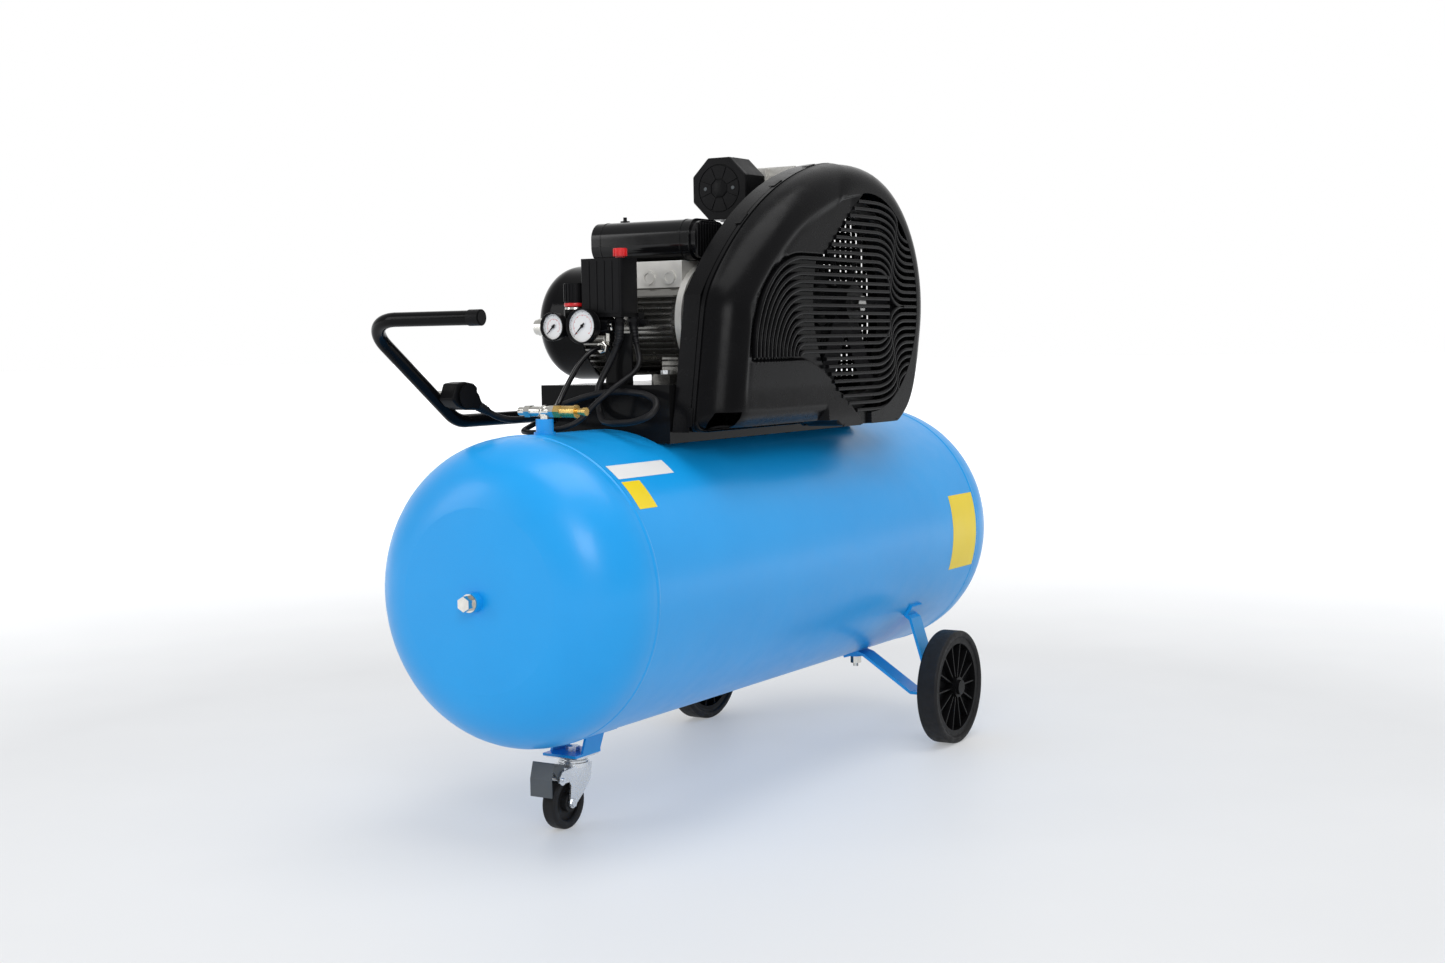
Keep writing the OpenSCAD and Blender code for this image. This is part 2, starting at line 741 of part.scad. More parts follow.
module capacitor_box() color([0.08, 0.08, 0.08]) {
  difference() {
    along_y(-89, 92) soft_rect([-236, 844.2], [-138, 908], 26);
    along_y(-86, 89) soft_rect([-233, 847.2], [-141, 905], 23);
    block([-222, -66, 840], [-120, 82, 848]);
  }
  hex_z(-186, 60, 907.5, 912, 13);
  bar_z(-186, 60, 912, 918, 3);
}

module capacitors() color("white") {
  for (x = [-211, -163]) bar_y(x, 872, -70, 70, 21);
}

// ---------- belt drive ----------

// V groove cutter in (radius, width)
module groove(pitch_r) {
  half_top = belt_top_w / 2 + groove_gap;
  half_low = belt_low_w / 2 + groove_gap;
  polygon([[pitch_r + 14, -half_top - 3.4], [pitch_r + 14, half_top + 3.4],
           [pitch_r - 5, half_low], [pitch_r - 5, -half_low]]);
}

module motor_pulley() color("gray")
  translate([motor_x, belt_y, motor_z]) rotate([-90, 0, 0]) difference() {
    rotate_extrude($fn = 96) difference() {
      union() {
        translate([0, -11]) square([pulley_pitch_r + 5, 22]);
        translate([0, -20]) square([24, 40]);
      }
      groove(pulley_pitch_r);
      for (s = [-1, 1]) translate([28, s > 0 ? 5 : -15]) square([pulley_pitch_r - 42, 10]);
    }
    translate([0, 0, -40]) cylinder(r = 11, h = 80);
  }

// Belt section in (radius, width), made smaller by thin all round
module belt_section(pitch_r, thin = 0) {
  h = belt_h / 2 - thin;
  top = belt_top_w / 2 - thin;
  low = belt_low_w / 2 - thin;
  translate([pitch_r, 0]) polygon([[h, -top], [h, top], [-h, low], [-h, -low]]);
}

shaft_gap = norm([crank_x - motor_x, crank_z - motor_z]);
line_tilt = atan2(crank_z - motor_z, crank_x - motor_x);
wrap_tilt = asin((flywheel_pitch_r - pulley_pitch_r) / shaft_gap);
span_len = shaft_gap * cos(wrap_tilt);

// Belt arc round one shaft, from angle a through the given sweep, in the XZ plane
module belt_arc(x, z, r, a, sweep) translate([x, belt_y, z]) rotate([90, 0, 0])
  rotate(a) rotate_extrude(angle = sweep, $fn = 128) belt_section(r);

// Straight run between the tangent points at angle a; it enters both arcs and is a hair thinner
module belt_span(a, way) {
  enter = 1;
  translate([motor_x, belt_y, motor_z]) rotate([90, 0, 0]) rotate(a)
    translate([pulley_pitch_r, -way * enter, 0]) rotate([-way * 90, 0, 0])
    linear_extrude(span_len + 2 * enter) translate([-pulley_pitch_r, 0]) belt_section(pulley_pitch_r, 0.04);
}

module v_belt() color([0.15, 0.15, 0.15]) union() {
  up = line_tilt + wrap_tilt + 90;
  down = line_tilt - wrap_tilt - 90;
  belt_arc(motor_x, motor_z, pulley_pitch_r, up, 180 - 2 * wrap_tilt);
  belt_arc(crank_x, crank_z, flywheel_pitch_r, down, 180 + 2 * wrap_tilt);
  belt_span(up, -1);
  belt_span(down, 1);
}

// Flywheel: grooved rim, hub and curved fan spokes
module flywheel() color("gray")
  translate([crank_x, belt_y, crank_z]) rotate([-90, 0, 0]) difference() {
    union() {
      rotate_extrude($fn = 128) difference() {
        translate([flywheel_pitch_r - 18, -15]) square([23, 30]);
        groove(flywheel_pitch_r);
      }
      rotate_extrude() translate([0, -20]) square([32, 44]);
      for (a = [0 : spokes - 1]) rotate(360 * a / spokes) rotate([28, 0, 0])
        translate([26, -14, -3.5]) cube([flywheel_pitch_r - 42, 28, 7]);
    }
    translate([0, 0, -60]) cylinder(r = 12.5, h = 120);
  }

// ---------- pump ----------

// One throw: two round webs with the crankpin between them, to one side of the axis
module crank_throw(y, side) {
  for (w = [y - 23, y + 15]) bar_y(crank_x, crank_z, w, w + 8, 38);
  bar_y(crank_x + side * throw, crank_z, y - 17, y + 17, 11);
}

module crankshaft() color("darkgray") {
  bar_y(crank_x, crank_z, -196, cyl_y0 - 20, 12.5);
  bar_y(crank_x, crank_z, cyl_y0 + 20, cyl_y1 - 20, 12.5);
  bar_y(crank_x, crank_z, cyl_y1 + 20, case_y1 - 2.5, 12.5);
  crank_throw(cyl_y0, 1);
  crank_throw(cyl_y1, -1);
  hex_y(crank_x, crank_z, -206, -196, 24);
}

// Upright section of the crankcase, in from the outside by t
module case_section(t) {
  translate([crank_x, crank_z]) circle(62 - t);
  polygon([[crank_x - 60 + t, 790], [crank_x - 56 + t, 672 + t],
           [crank_x + 56 - t, 672 + t], [crank_x + 60 - t, 790]]);
}

// Cast crankcase: round barrel, sump, feet and the deck under the cylinders
module crankcase() color([0.25, 0.25, 0.27]) difference() {
  union() {
    along_y(case_y0, case_y1) case_section(0);
    block([crank_x - 82, case_y0 + 2, plat_z], [crank_x + 82, case_y1 - 4, plat_z + 14]);
    block([crank_x - 57, case_y0 + 2, plat_z], [crank_x + 57, case_y1 - 2, plat_z + 20]);
    block([crank_x - 50, case_y0 + 2, 820], [crank_x + 50, case_y1 - 10, deck_z]);
    bar_y(crank_x, crank_z, case_y0 - 17, case_y0 + 2, 36);
    bar_x(-20, 700, crank_x - 74, crank_x - 50, 14);
    bar_x(20, 812, crank_x + 40, crank_x + 76, 11);
  }
  along_y(case_y0 + 12, case_y1 - 16) case_section(10);
  bar_y(crank_x, crank_z, case_y0 - 14.05, case_y0 + 20, 26);
  bar_y(crank_x, crank_z, case_y0 - 20, case_y0, 16);
  bar_y(crank_x, crank_z, case_y1 - 20, case_y1 - 1.95, 26);
  for (y = [cyl_y0, cyl_y1]) bar_z(crank_x, y, 790, 850, bore_r + 1);
  for (x = [crank_x - pump_bolt_x, crank_x + pump_bolt_x], y = feet_y) bar_z(x, y, 640, 680, 5.5);
}

// Outline of the block, the valve plate and the head in XY, with side margins mx and my
module pump_outline(mx, my, r) soft_rect([crank_x - mx, cyl_y0 - my], [crank_x + mx, cyl_y1 + my], r);

// Finned cylinder block with two bores
module cylinder_block() color([0.3, 0.3, 0.32]) difference() {
  union() {
    translate([0, 0, deck_z]) linear_extrude(8) pump_outline(50, block_end, 8);
    for (y = [cyl_y0, cyl_y1]) bar_z(crank_x, y, deck_z, block_top, bore_r + 5.5);
    block([crank_x - 20, cyl_y0, deck_z], [crank_x + 20, cyl_y1, block_top]);
    for (i = [0 : 11]) translate([0, 0, deck_z + 17 + i * 9]) linear_extrude(2.5) pump_outline(54, 39.5, 18);
    translate([0, 0, block_top - 8]) linear_extrude(8) pump_outline(50, block_end, 14);
  }
  for (y = [cyl_y0, cyl_y1]) bar_z(crank_x, y, deck_z - 1, block_top + 1, bore_r);
}

// Piston with its ring grooves and gudgeon pin hole
module piston(y) translate([crank_x, y, 0]) difference() {
  union() {
    translate([0, 0, 891]) cylinder(r = bore_r - 0.06, h = 55);
    translate([0, 0, 885]) cylinder(r = bore_r - 5, h = 7);
  }
  translate([0, 0, 880]) cylinder(r = bore_r - 7, h = 58);
  for (z = [936, 928]) translate([0, 0, z]) difference() {
    cylinder(r = bore_r + 2, h = 2.5);
    translate([0, 0, -1]) cylinder(r = bore_r - 2.5, h = 5);
  }
  translate([-60, 0, 910]) rotate([0, 90, 0]) cylinder(r = 8, h = 120);
}

module piston_front() color("silver") piston(cyl_y0);
module piston_rear() color("silver") piston(cyl_y1);

module valve_plate() color("darkgray") difference() {
  translate([0, 0, block_top]) linear_extrude(6) pump_outline(51, block_end + 1, 14);
  for (y = [cyl_y0, cyl_y1], s = [-1, 1]) bar_z(crank_x + s * 16, y, block_top - 1, block_top + 7, 7);
}

// Finned head with inlet and outlet ports, and bosses round its bolts
module cylinder_head() color([0.32, 0.32, 0.34]) difference() {
  port_z = head_z0 + 14;
  union() {
    translate([0, 0, head_z0]) linear_extrude(16) pump_outline(51, block_end + 1, 14);
    for (i = [-4 : 4])
      let (x = crank_x + i * 11)
        block([x - 1.5, cyl_y0 - 34, head_z0 + 14], [x + 1.5, cyl_y1 + 34, head_z1]);
    for (x = [crank_x - 38, crank_x + 38], y = [cyl_y0 - 25, (cyl_y0 + cyl_y1) / 2, cyl_y1 + 25])
      bar_z(x, y, head_z0, head_z1 - 6, 9);
    block([crank_x - 58, -56, head_z0], [crank_x - 40, -12, head_z1 - 2]);
    bar_x(cyl_y1, port_z, crank_x + 40, crank_x + 60, 14);
  }
  bar_x(filter_y, port_z, crank_x - 70, crank_x - 30, 12);
  bar_x(cyl_y1, port_z, crank_x + 30, crank_x + 70, 8);
}

// Octagonal intake filter on a neck that screws into the head
filter_y = -34;
filter_z = 967;
octagon_r = 50 / cos(22.5);
module octagon(x0, x1, r) translate([x0, filter_y, filter_z]) rotate([0, 90, 0]) rotate([0, 0, 22.5])
  cylinder(r = r, h = x1 - x0, $fn = 8);

module filter_body() color([0.13, 0.13, 0.13]) difference() {
  union() {
    octagon(-38, 12, octagon_r);
    bar_x(filter_y, head_z0 + 14, 10, crank_x - 50, 11.95);
  }
  octagon(-40, 9, octagon_r - 3);
  bar_x(filter_y, head_z0 + 14, 0, crank_x - 40, 9);
}

module filter_cover() color([0.13, 0.13, 0.13]) difference() {
  octagon(-50, -38, octagon_r);
  octagon(-48, -37, octagon_r - 4);
  for (a = [0 : 7]) translate([0, filter_y, filter_z]) rotate([a * 45 + 22.5, 0, 0])
    block([-51, 22, -1.5], [-47, 42, 1.5]);
}

// Delivery pipe from the head, out over the side and down to the check valve
module delivery_pipe() color("peru") {
  r = 7.85;
  bend_r = 40;
  enter = 0.5;
  z = head_z0 + 14;
  knee = [check_x, cyl_y1, 700];
  foot = [check_x, check_y, 640];
  straight_run([crank_x + 50, cyl_y1, z], [check_x - bend_r + enter, cyl_y1, z], r);
  translate([check_x - bend_r, cyl_y1, z - bend_r]) rotate([90, 0, 0])
    rotate_extrude(angle = 90) translate([bend_r, 0]) circle(r + 0.03);
  straight_run(knee, [check_x, cyl_y1, z - bend_r + enter], r);
  straight_run(foot, knee, r);
  straight_run([check_x, check_y, 632], foot, r);
  for (corner = [knee, foot]) translate(corner) sphere(r + 0.05);
}

module check_valve() color("goldenrod") difference() {
  union() {
    bar_z(check_x, check_y, 584, 600, 9.95);
    hex_z(check_x, check_y, 598, 612, 30);
    bar_z(check_x, check_y, 610, 624, 12);
    hex_z(check_x, check_y, 622, 636, 24);
    bar_x(check_y, 617, check_x - 26, check_x, 4.5);
  }
  bar_z(check_x, check_y, 630, 640, 8);
  bar_z(check_x, check_y, 580, 632, 5);
}

// Bleed screw under the receiver
module drain_valve() color("silver") {
  bar_z(drain_x, drain_y, 132, 148, 6.5);
  hex_z(drain_x, drain_y, 121, 133.8, 17);
  bar_z(drain_x, drain_y, 115, 121.5, 5);
}

// ---------- air fittings ----------

tee_z = 621;

module tee_fitting() color("silver") {
  z = tee_z;
  bar_z(boss_x, 0, 598, z, boss_bore - 0.1);
  hex_z(boss_x, 0, boss_top, boss_top + 5, 17);
  translate([boss_x, 0, z]) sphere(9);
  bar_y(boss_x, z, -14, 24, 7.5);
  hex_y(boss_x, z, 22, 32, 17);
  bar_y(boss_x, z, 31, 44, 6.5);
  hex_y(boss_x, z, -20, -12, 17);
  bar_x(0, z, boss_x, boss_x + 14, 7);
  difference() {
    bar_x(0, z, boss_x + 12, boss_x + 24, 7.5);
    bar_x(0, z, boss_x + 16, boss_x + 30, 4.6);
  }
}

module safety_valve() color("goldenrod") {
  z = tee_z;
  hex_y(boss_x, z, -32, -20, 17);
  bar_y(boss_x, z, -56, -31, 8.5);
  bar_y(boss_x, z, -58, -55, 9.5);
  bar_y(boss_x, z, -72, -57, 4.5);
  bar_y(boss_x, z, -75, -70, 6);
}

module pressure_tube() color([0.1, 0.1, 0.1]) swept_tube(pressure_tube_path, pressure_tube_d / 2, 10);

// Manifold under the switch: body, gauge stubs, regulator bonnet, plug and tube elbow
module manifold() color([0.1, 0.1, 0.1]) {
  z = manifold_z;
  difference() {
    union() {
      bar_y(manifold_x, z, -6, 102, 13);
      block([manifold_x - 15, 14, z - 15], [manifold_x + 15, 44, z + 13]);
      bar_z(manifold_x, 62, z - 16, z + 26, 17);
      bar_z(manifold_x, 62, z + 20, z + 29.7, 14);
      bar_z(manifold_x, 62, z + 20, z + 39, 8.94);
      for (y = [28, 82]) bar_x(y, z, manifold_x - 17, manifold_x, 7);
      block([-315, -8, z - 30], [-306, 8, z + 6]);
      block([-320, -4, z - 10], [-306, 8, z + 6]);
    }
    bar_y(manifold_x, z, 92, 110, 8.3);
  }
  hex_y(manifold_x, z, -11, -5, 17);
  bar_z(manifold_x, 2, z - 26, z - 10, 6);
  hex_z(manifold_x, 2, z - 32, z - 24, 15);
  difference() {
    bar_x(2, z - 33, manifold_x - 20, manifold_x, 6.5);
    bar_x(2, z - 33, manifold_x - 30, manifold_x - 16, 4.6);
  }
}

module regulator_knob() color([0.12, 0.12, 0.12]) difference() {
  union() {
    bar_z(manifold_x, 62, manifold_z + 30, manifold_z + 36, 15.5);
    bar_z(manifold_x, 62, manifold_z + 36, manifold_z + 66, 16);
    for (a = [0 : 17]) translate([manifold_x, 62, manifold_z + 38]) rotate(a * 20)
      translate([15, -1.2, 0]) cube([2.4, 2.4, 27]);
  }
  bar_z(manifold_x, 62, manifold_z + 20, manifold_z + 40, 9);
}

// Gauge case with a recessed dial, its axis along X
module gauge(y, z, r, back) difference() {
  union() {
    bar_x(y, z, dial_x, back, r);
    bar_x(y, z, dial_x - 1.5, dial_x + 2, r + 1);
  }
  bar_x(y, z, dial_x - 4, dial_x + 5, r - 2.5);
  bar_x(y, z, dial_x - 4, dial_x + 9, 1.5);
}

module gauge_cases() color("white") {
  gauge(28, manifold_z, 26, manifold_x - 17);
  gauge(82, manifold_z, 21, manifold_x - 17);
}

// Gauge needle at its zero stop, low on the left of the dial
module needle(y, z, length) {
  translate([dial_x + 2.4, y, z]) rotate([-45, 0, 0]) rotate([0, 90, 0]) linear_extrude(0.8) union() {
    circle(2.6);
    polygon([[-0.4, length], [0.4, length], [1.4, -length * 0.3], [-1.4, -length * 0.3]]);
  }
  bar_x(y, z, dial_x + 1.6, dial_x + 8, 1.44);
}

module needle_large() color("black") needle(28, manifold_z, 19);
module needle_small() color("black") needle(82, manifold_z, 15);

module outlet_coupling() color("silver") difference() {
  union() {
    bar_y(manifold_x, manifold_z, 94, 104, 8.2);
    hex_y(manifold_x, manifold_z, 102, 110, 22);
    bar_y(manifold_x, manifold_z, 110, 134, 12);
    bar_y(manifold_x, manifold_z, 116, 128, 13.5);
  }
  bar_y(manifold_x, manifold_z, 112, 136, 5.25);
}

// ---------- pressure switch ----------

module switch_base() color([0.1, 0.1, 0.1]) {
  difference() {
    block([switch_x0 + 2, -31, 758], [switch_x1 - 2, 39, 764]);
    bar_z(-316, -17, 757, 765, 2);
  }
  block([switch_x0 + 8, -10, 764], [switch_x1 - 8, 34, 826]);
  // Glands of the two cables
  bar_z(-300, -28, 744, 758, 8);
  bar_z(-326, -20, 744, 758, 7);
  hex_z(-300, -28, 750, 755, 17);
  hex_z(-326, -20, 750, 755, 15);
  // Unloader valve behind the glands
  block([-294, -34, 742], [-279, -20, 764]);
  bar_y(-286, 749, -44, -33, 5);
}

module switch_cover() color([0.1, 0.1, 0.1]) {
  difference() {
    translate([0, 0, 764]) linear_extrude(83) soft_rect([switch_x0, -33], [switch_x1, 41], 4);
    translate([0, 0, 760]) linear_extrude(84) soft_rect([switch_x0 + 2, -31], [switch_x1 - 2, 39], 3);
    bar_z(-316, -17, 840, 850, 7.3);
  }
  for (y = [-18, -4, 10, 24]) block([switch_x0 - 1, y, 768], [switch_x0 + 0.5, y + 3, 843]);
}

module switch_knob() color("red") {
  bar_z(-316, -17, 836, 850, 7.2);
  bar_z(-316, -17, 849.5, 862, 10);
  for (a = [0 : 11]) translate([-316, -17, 850]) rotate(a * 30) translate([9.4, -1, 0]) cube([1.4, 2, 11]);
}

// ---------- cables ----------

module mains_cord() color([0.1, 0.1, 0.1]) swept_tube(cord_path, cord_d / 2, 8);

// Angled earthed plug hung on the handle by its two round pins
module mains_plug() color([0.1, 0.1, 0.1]) {
  along = unit([-0.804, 0.595]) * pin_gap / 2;
  along_y(plug_back, plug_face) {
    translate(plug_centre) circle(20);
    polygon([[-584, 642], [-575, 664], [-534, 663], [-521, 654], [-520, 641], [-516, 634],
             [-524, 622], [-552, 626], [-572, 633]]);
  }
  for (s = [-1, 1]) let (p = plug_centre + s * along)
    bar_y(p.x, p.y, plug_face - 1, plug_face + 19, pin_r);
  straight_run(relief_start, cord_path[len(cord_path) - 1], 7.5);
}

module motor_cable() color([0.1, 0.1, 0.1]) swept_tube(motor_cable_path, motor_cable_d / 2, 8);

translate(origin_shift) tank_shell();
translate(origin_shift) tank_heads();
translate(origin_shift) head_plugs();
translate(origin_shift) wheel_brackets();
translate(origin_shift) caster_bracket();
translate(origin_shift) wheel_axles();
translate(origin_shift) wheel_left();
translate(origin_shift) tyre_left();
translate(origin_shift) wheel_right();
translate(origin_shift) tyre_right();
translate(origin_shift) caster_plate();
translate(origin_shift) caster_fork();
translate(origin_shift) caster_wheel();
translate(origin_shift) caster_brake();
translate(origin_shift) platform();
translate(origin_shift) mounting_bolts();
translate(origin_shift) handle_tube();
translate(origin_shift) handle_cap();
translate(origin_shift) guard_rear();
translate(origin_shift) guard_front();
translate(origin_shift) motor_frame();
translate(origin_shift) motor_stator();
translate(origin_shift) motor_rotor();
translate(origin_shift) ball_bearings();
translate(origin_shift) motor_shields();
translate(origin_shift) motor_fan();
translate(origin_shift) fan_cowl();
translate(origin_shift) terminal_base();
translate(origin_shift) capacitor_box();
translate(origin_shift) capacitors();
translate(origin_shift) motor_pulley();
translate(origin_shift) v_belt();
translate(origin_shift) flywheel();
translate(origin_shift) crankshaft();
translate(origin_shift) crankcase();
translate(origin_shift) cylinder_block();
translate(origin_shift) piston_front();
translate(origin_shift) piston_rear();
translate(origin_shift) valve_plate();
translate(origin_shift) cylinder_head();
translate(origin_shift) filter_body();
translate(origin_shift) filter_cover();
translate(origin_shift) delivery_pipe();
translate(origin_shift) check_valve();
translate(origin_shift) drain_valve();
translate(origin_shift) tee_fitting();
translate(origin_shift) safety_valve();
translate(origin_shift) pressure_tube();
translate(origin_shift) manifold();
translate(origin_shift) regulator_knob();
translate(origin_shift) gauge_cases();
translate(origin_shift) needle_large();
translate(origin_shift) needle_small();
translate(origin_shift) outlet_coupling();
translate(origin_shift) switch_base();
translate(origin_shift) switch_cover();
translate(origin_shift) switch_knob();
translate(origin_shift) mains_cord();
translate(origin_shift) mains_plug();
translate(origin_shift) motor_cable();
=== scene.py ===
"""Air compressor: materials, detailed pieces, cords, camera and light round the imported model."""
import json
import math

import bmesh
import bpy
import numpy as np
from mathutils import Matrix, Vector


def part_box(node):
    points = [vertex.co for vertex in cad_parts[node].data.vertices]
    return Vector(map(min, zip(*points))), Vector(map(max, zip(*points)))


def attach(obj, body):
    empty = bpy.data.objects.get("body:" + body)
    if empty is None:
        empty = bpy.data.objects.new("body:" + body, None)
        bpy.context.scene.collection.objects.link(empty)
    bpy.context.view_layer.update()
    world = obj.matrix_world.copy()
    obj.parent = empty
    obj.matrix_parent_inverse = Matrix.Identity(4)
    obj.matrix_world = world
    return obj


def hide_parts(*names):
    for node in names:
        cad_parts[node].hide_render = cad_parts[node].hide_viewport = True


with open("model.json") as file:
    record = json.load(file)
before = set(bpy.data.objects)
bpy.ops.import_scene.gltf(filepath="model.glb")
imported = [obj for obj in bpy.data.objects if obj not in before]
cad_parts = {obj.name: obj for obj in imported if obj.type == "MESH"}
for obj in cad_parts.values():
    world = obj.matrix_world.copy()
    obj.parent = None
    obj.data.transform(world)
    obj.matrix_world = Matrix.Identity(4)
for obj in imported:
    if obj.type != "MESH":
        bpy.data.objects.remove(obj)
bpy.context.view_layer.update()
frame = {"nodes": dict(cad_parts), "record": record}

MM = 0.001
shell_low, shell_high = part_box("tank_shell")
SHIFT = (shell_low.x + shell_high.x) / 2

# Places in millimetres, with X counted from the receiver's middle
TANK_R, TANK_Z = 225, 363
CRANK_X, CRANK_Z = 122, 778
MANIFOLD_X, MANIFOLD_Z, DIAL_X = -326, 745, -360


def at(x, y, z):
    """Point in metres in the row frame, from millimetres counted from the receiver's middle."""
    return Vector((x * MM + SHIFT, y * MM, z * MM))


# ---------- materials ----------

class Graph:
    """A material's node tree, with one short call for each kind of node."""

    def __init__(self, name):
        self.material = bpy.data.materials.new(name)
        self.material.use_nodes = True
        self.nodes = self.material.node_tree.nodes
        self.links = self.material.node_tree.links
        self.shader = self.nodes["Principled BSDF"]
        self.place = self.nodes.new("ShaderNodeTexCoord").outputs["Object"]

    def set(self, **values):
        """Sets the shader's inputs, named with underscores for spaces."""
        for key, value in values.items():
            self.shader.inputs[key.replace("_", " ")].default_value = value

    def noise(self, scale, detail=3.0, rough=0.55, stretch=None):
        """Noise in the object's own metres, stretched along the axes if asked."""
        node = self.nodes.new("ShaderNodeTexNoise")
        node.inputs["Scale"].default_value = scale
        node.inputs["Detail"].default_value = detail
        node.inputs["Roughness"].default_value = rough
        source = self.place
        if stretch:
            mapping = self.nodes.new("ShaderNodeMapping")
            mapping.inputs["Scale"].default_value = stretch
            self.links.new(source, mapping.inputs["Vector"])
            source = mapping.outputs["Vector"]
        self.links.new(source, node.inputs["Vector"])
        return node.outputs["Fac"]

    def spread(self, source, low, high, from_low=0.3, from_high=0.7):
        """Maps a value from one range to another; the default range is where noise mostly lies."""
        node = self.nodes.new("ShaderNodeMapRange")
        node.inputs["From Min"].default_value = from_low
        node.inputs["From Max"].default_value = from_high
        node.inputs["To Min"].default_value = low
        node.inputs["To Max"].default_value = high
        self.links.new(source, node.inputs["Value"])
        return node.outputs["Result"]

    def mix(self, factor, a, b):
        """Blends from a, a colour or another node's output, to the colour b."""
        node = self.nodes.new("ShaderNodeMix")
        node.data_type = "RGBA"
        if isinstance(a, bpy.types.NodeSocket):
            self.links.new(a, node.inputs[6])
        else:
            node.inputs[6].default_value = (*a, 1)
        node.inputs[7].default_value = (*b, 1)
        self.links.new(factor, node.inputs[0])
        return node.outputs[2]

    def bump(self, height, strength, distance, before=None):
        """Normal from a height, on top of an earlier bump if there is one."""
        node = self.nodes.new("ShaderNodeBump")
        node.inputs["Strength"].default_value = strength
        node.inputs["Distance"].default_value = distance
        self.links.new(height, node.inputs["Height"])
        if before:
            self.links.new(before, node.inputs["Normal"])
        return node.outputs["Normal"]

    def join(self, key, source):
        """Connects a node's output to one of the shader's inputs."""
        self.links.new(source, self.shader.inputs[key])


def surface(name, base, rough, grain, vary=0.12, metallic=0.0, patches=6.0, coat=0.0, worn=None,
            specular=0.5, brushed=None):
    """Procedural finish: patchy colour and roughness, a fine grain in the bump, and edges worn to a colour.

    rough is a (low, high) pair; grain is (scale per metre, strength, depth in metres); brushed stretches the
    grain along an axis."""
    g = Graph(name)
    g.set(Metallic=metallic, Coat_Weight=coat, Coat_Roughness=0.12, Specular_IOR_Level=specular)
    broad = g.noise(patches, 4.0)
    dark = tuple(c * (1 - vary) for c in base)
    light = tuple(min(1.0, c * (1 + vary)) for c in base)
    colour = g.mix(g.spread(broad, 0, 1), dark, light)
    if worn:
        edge = g.nodes.new("ShaderNodeNewGeometry").outputs["Pointiness"]
        colour = g.mix(g.spread(edge, 0, 0.55, 0.53, 0.62), colour, worn)
    g.join("Base Color", colour)
    fine = g.noise(grain[0], 3.0, 0.6, brushed)
    g.join("Roughness", g.spread(g.noise(patches * 5, 5.0), rough[0], rough[1]))
    g.join("Normal", g.bump(fine, grain[1], grain[2]))
    return g.material


def tank_paint():
    """Sky-blue powder coat: a fine orange peel with broader waves, under a thin gloss."""
    g = Graph("tank_paint")
    g.set(Coat_Weight=0.1, Coat_Roughness=0.15, Specular_IOR_Level=0.4)
    g.join("Base Color", g.mix(g.spread(g.noise(4.0, 4.0), 0, 1), (0.003, 0.31, 0.76), (0.005, 0.34, 0.81)))
    g.join("Roughness", g.spread(g.noise(30.0, 5.0), 0.30, 0.38))
    peel = g.bump(g.noise(420.0, 2.0, 0.5), 0.3, 0.0004)
    g.join("Normal", g.bump(g.noise(60.0, 2.0), 0.06, 0.0008, peel))
    return g.material


def moulding(name, base, rough):
    """Moulded black plastic with a spark-eroded grain."""
    g = Graph(name)
    g.set(Specular_IOR_Level=0.08)
    pale = tuple(c * 1.5 for c in base)
    g.join("Base Color", g.mix(g.spread(g.noise(9.0, 4.0), 0, 1), base, pale))
    g.join("Roughness", g.spread(g.noise(45.0, 5.0), rough[0], rough[1]))
    g.join("Normal", g.bump(g.noise(2600.0, 2.0, 0.7), 0.25, 0.0001))
    return g.material


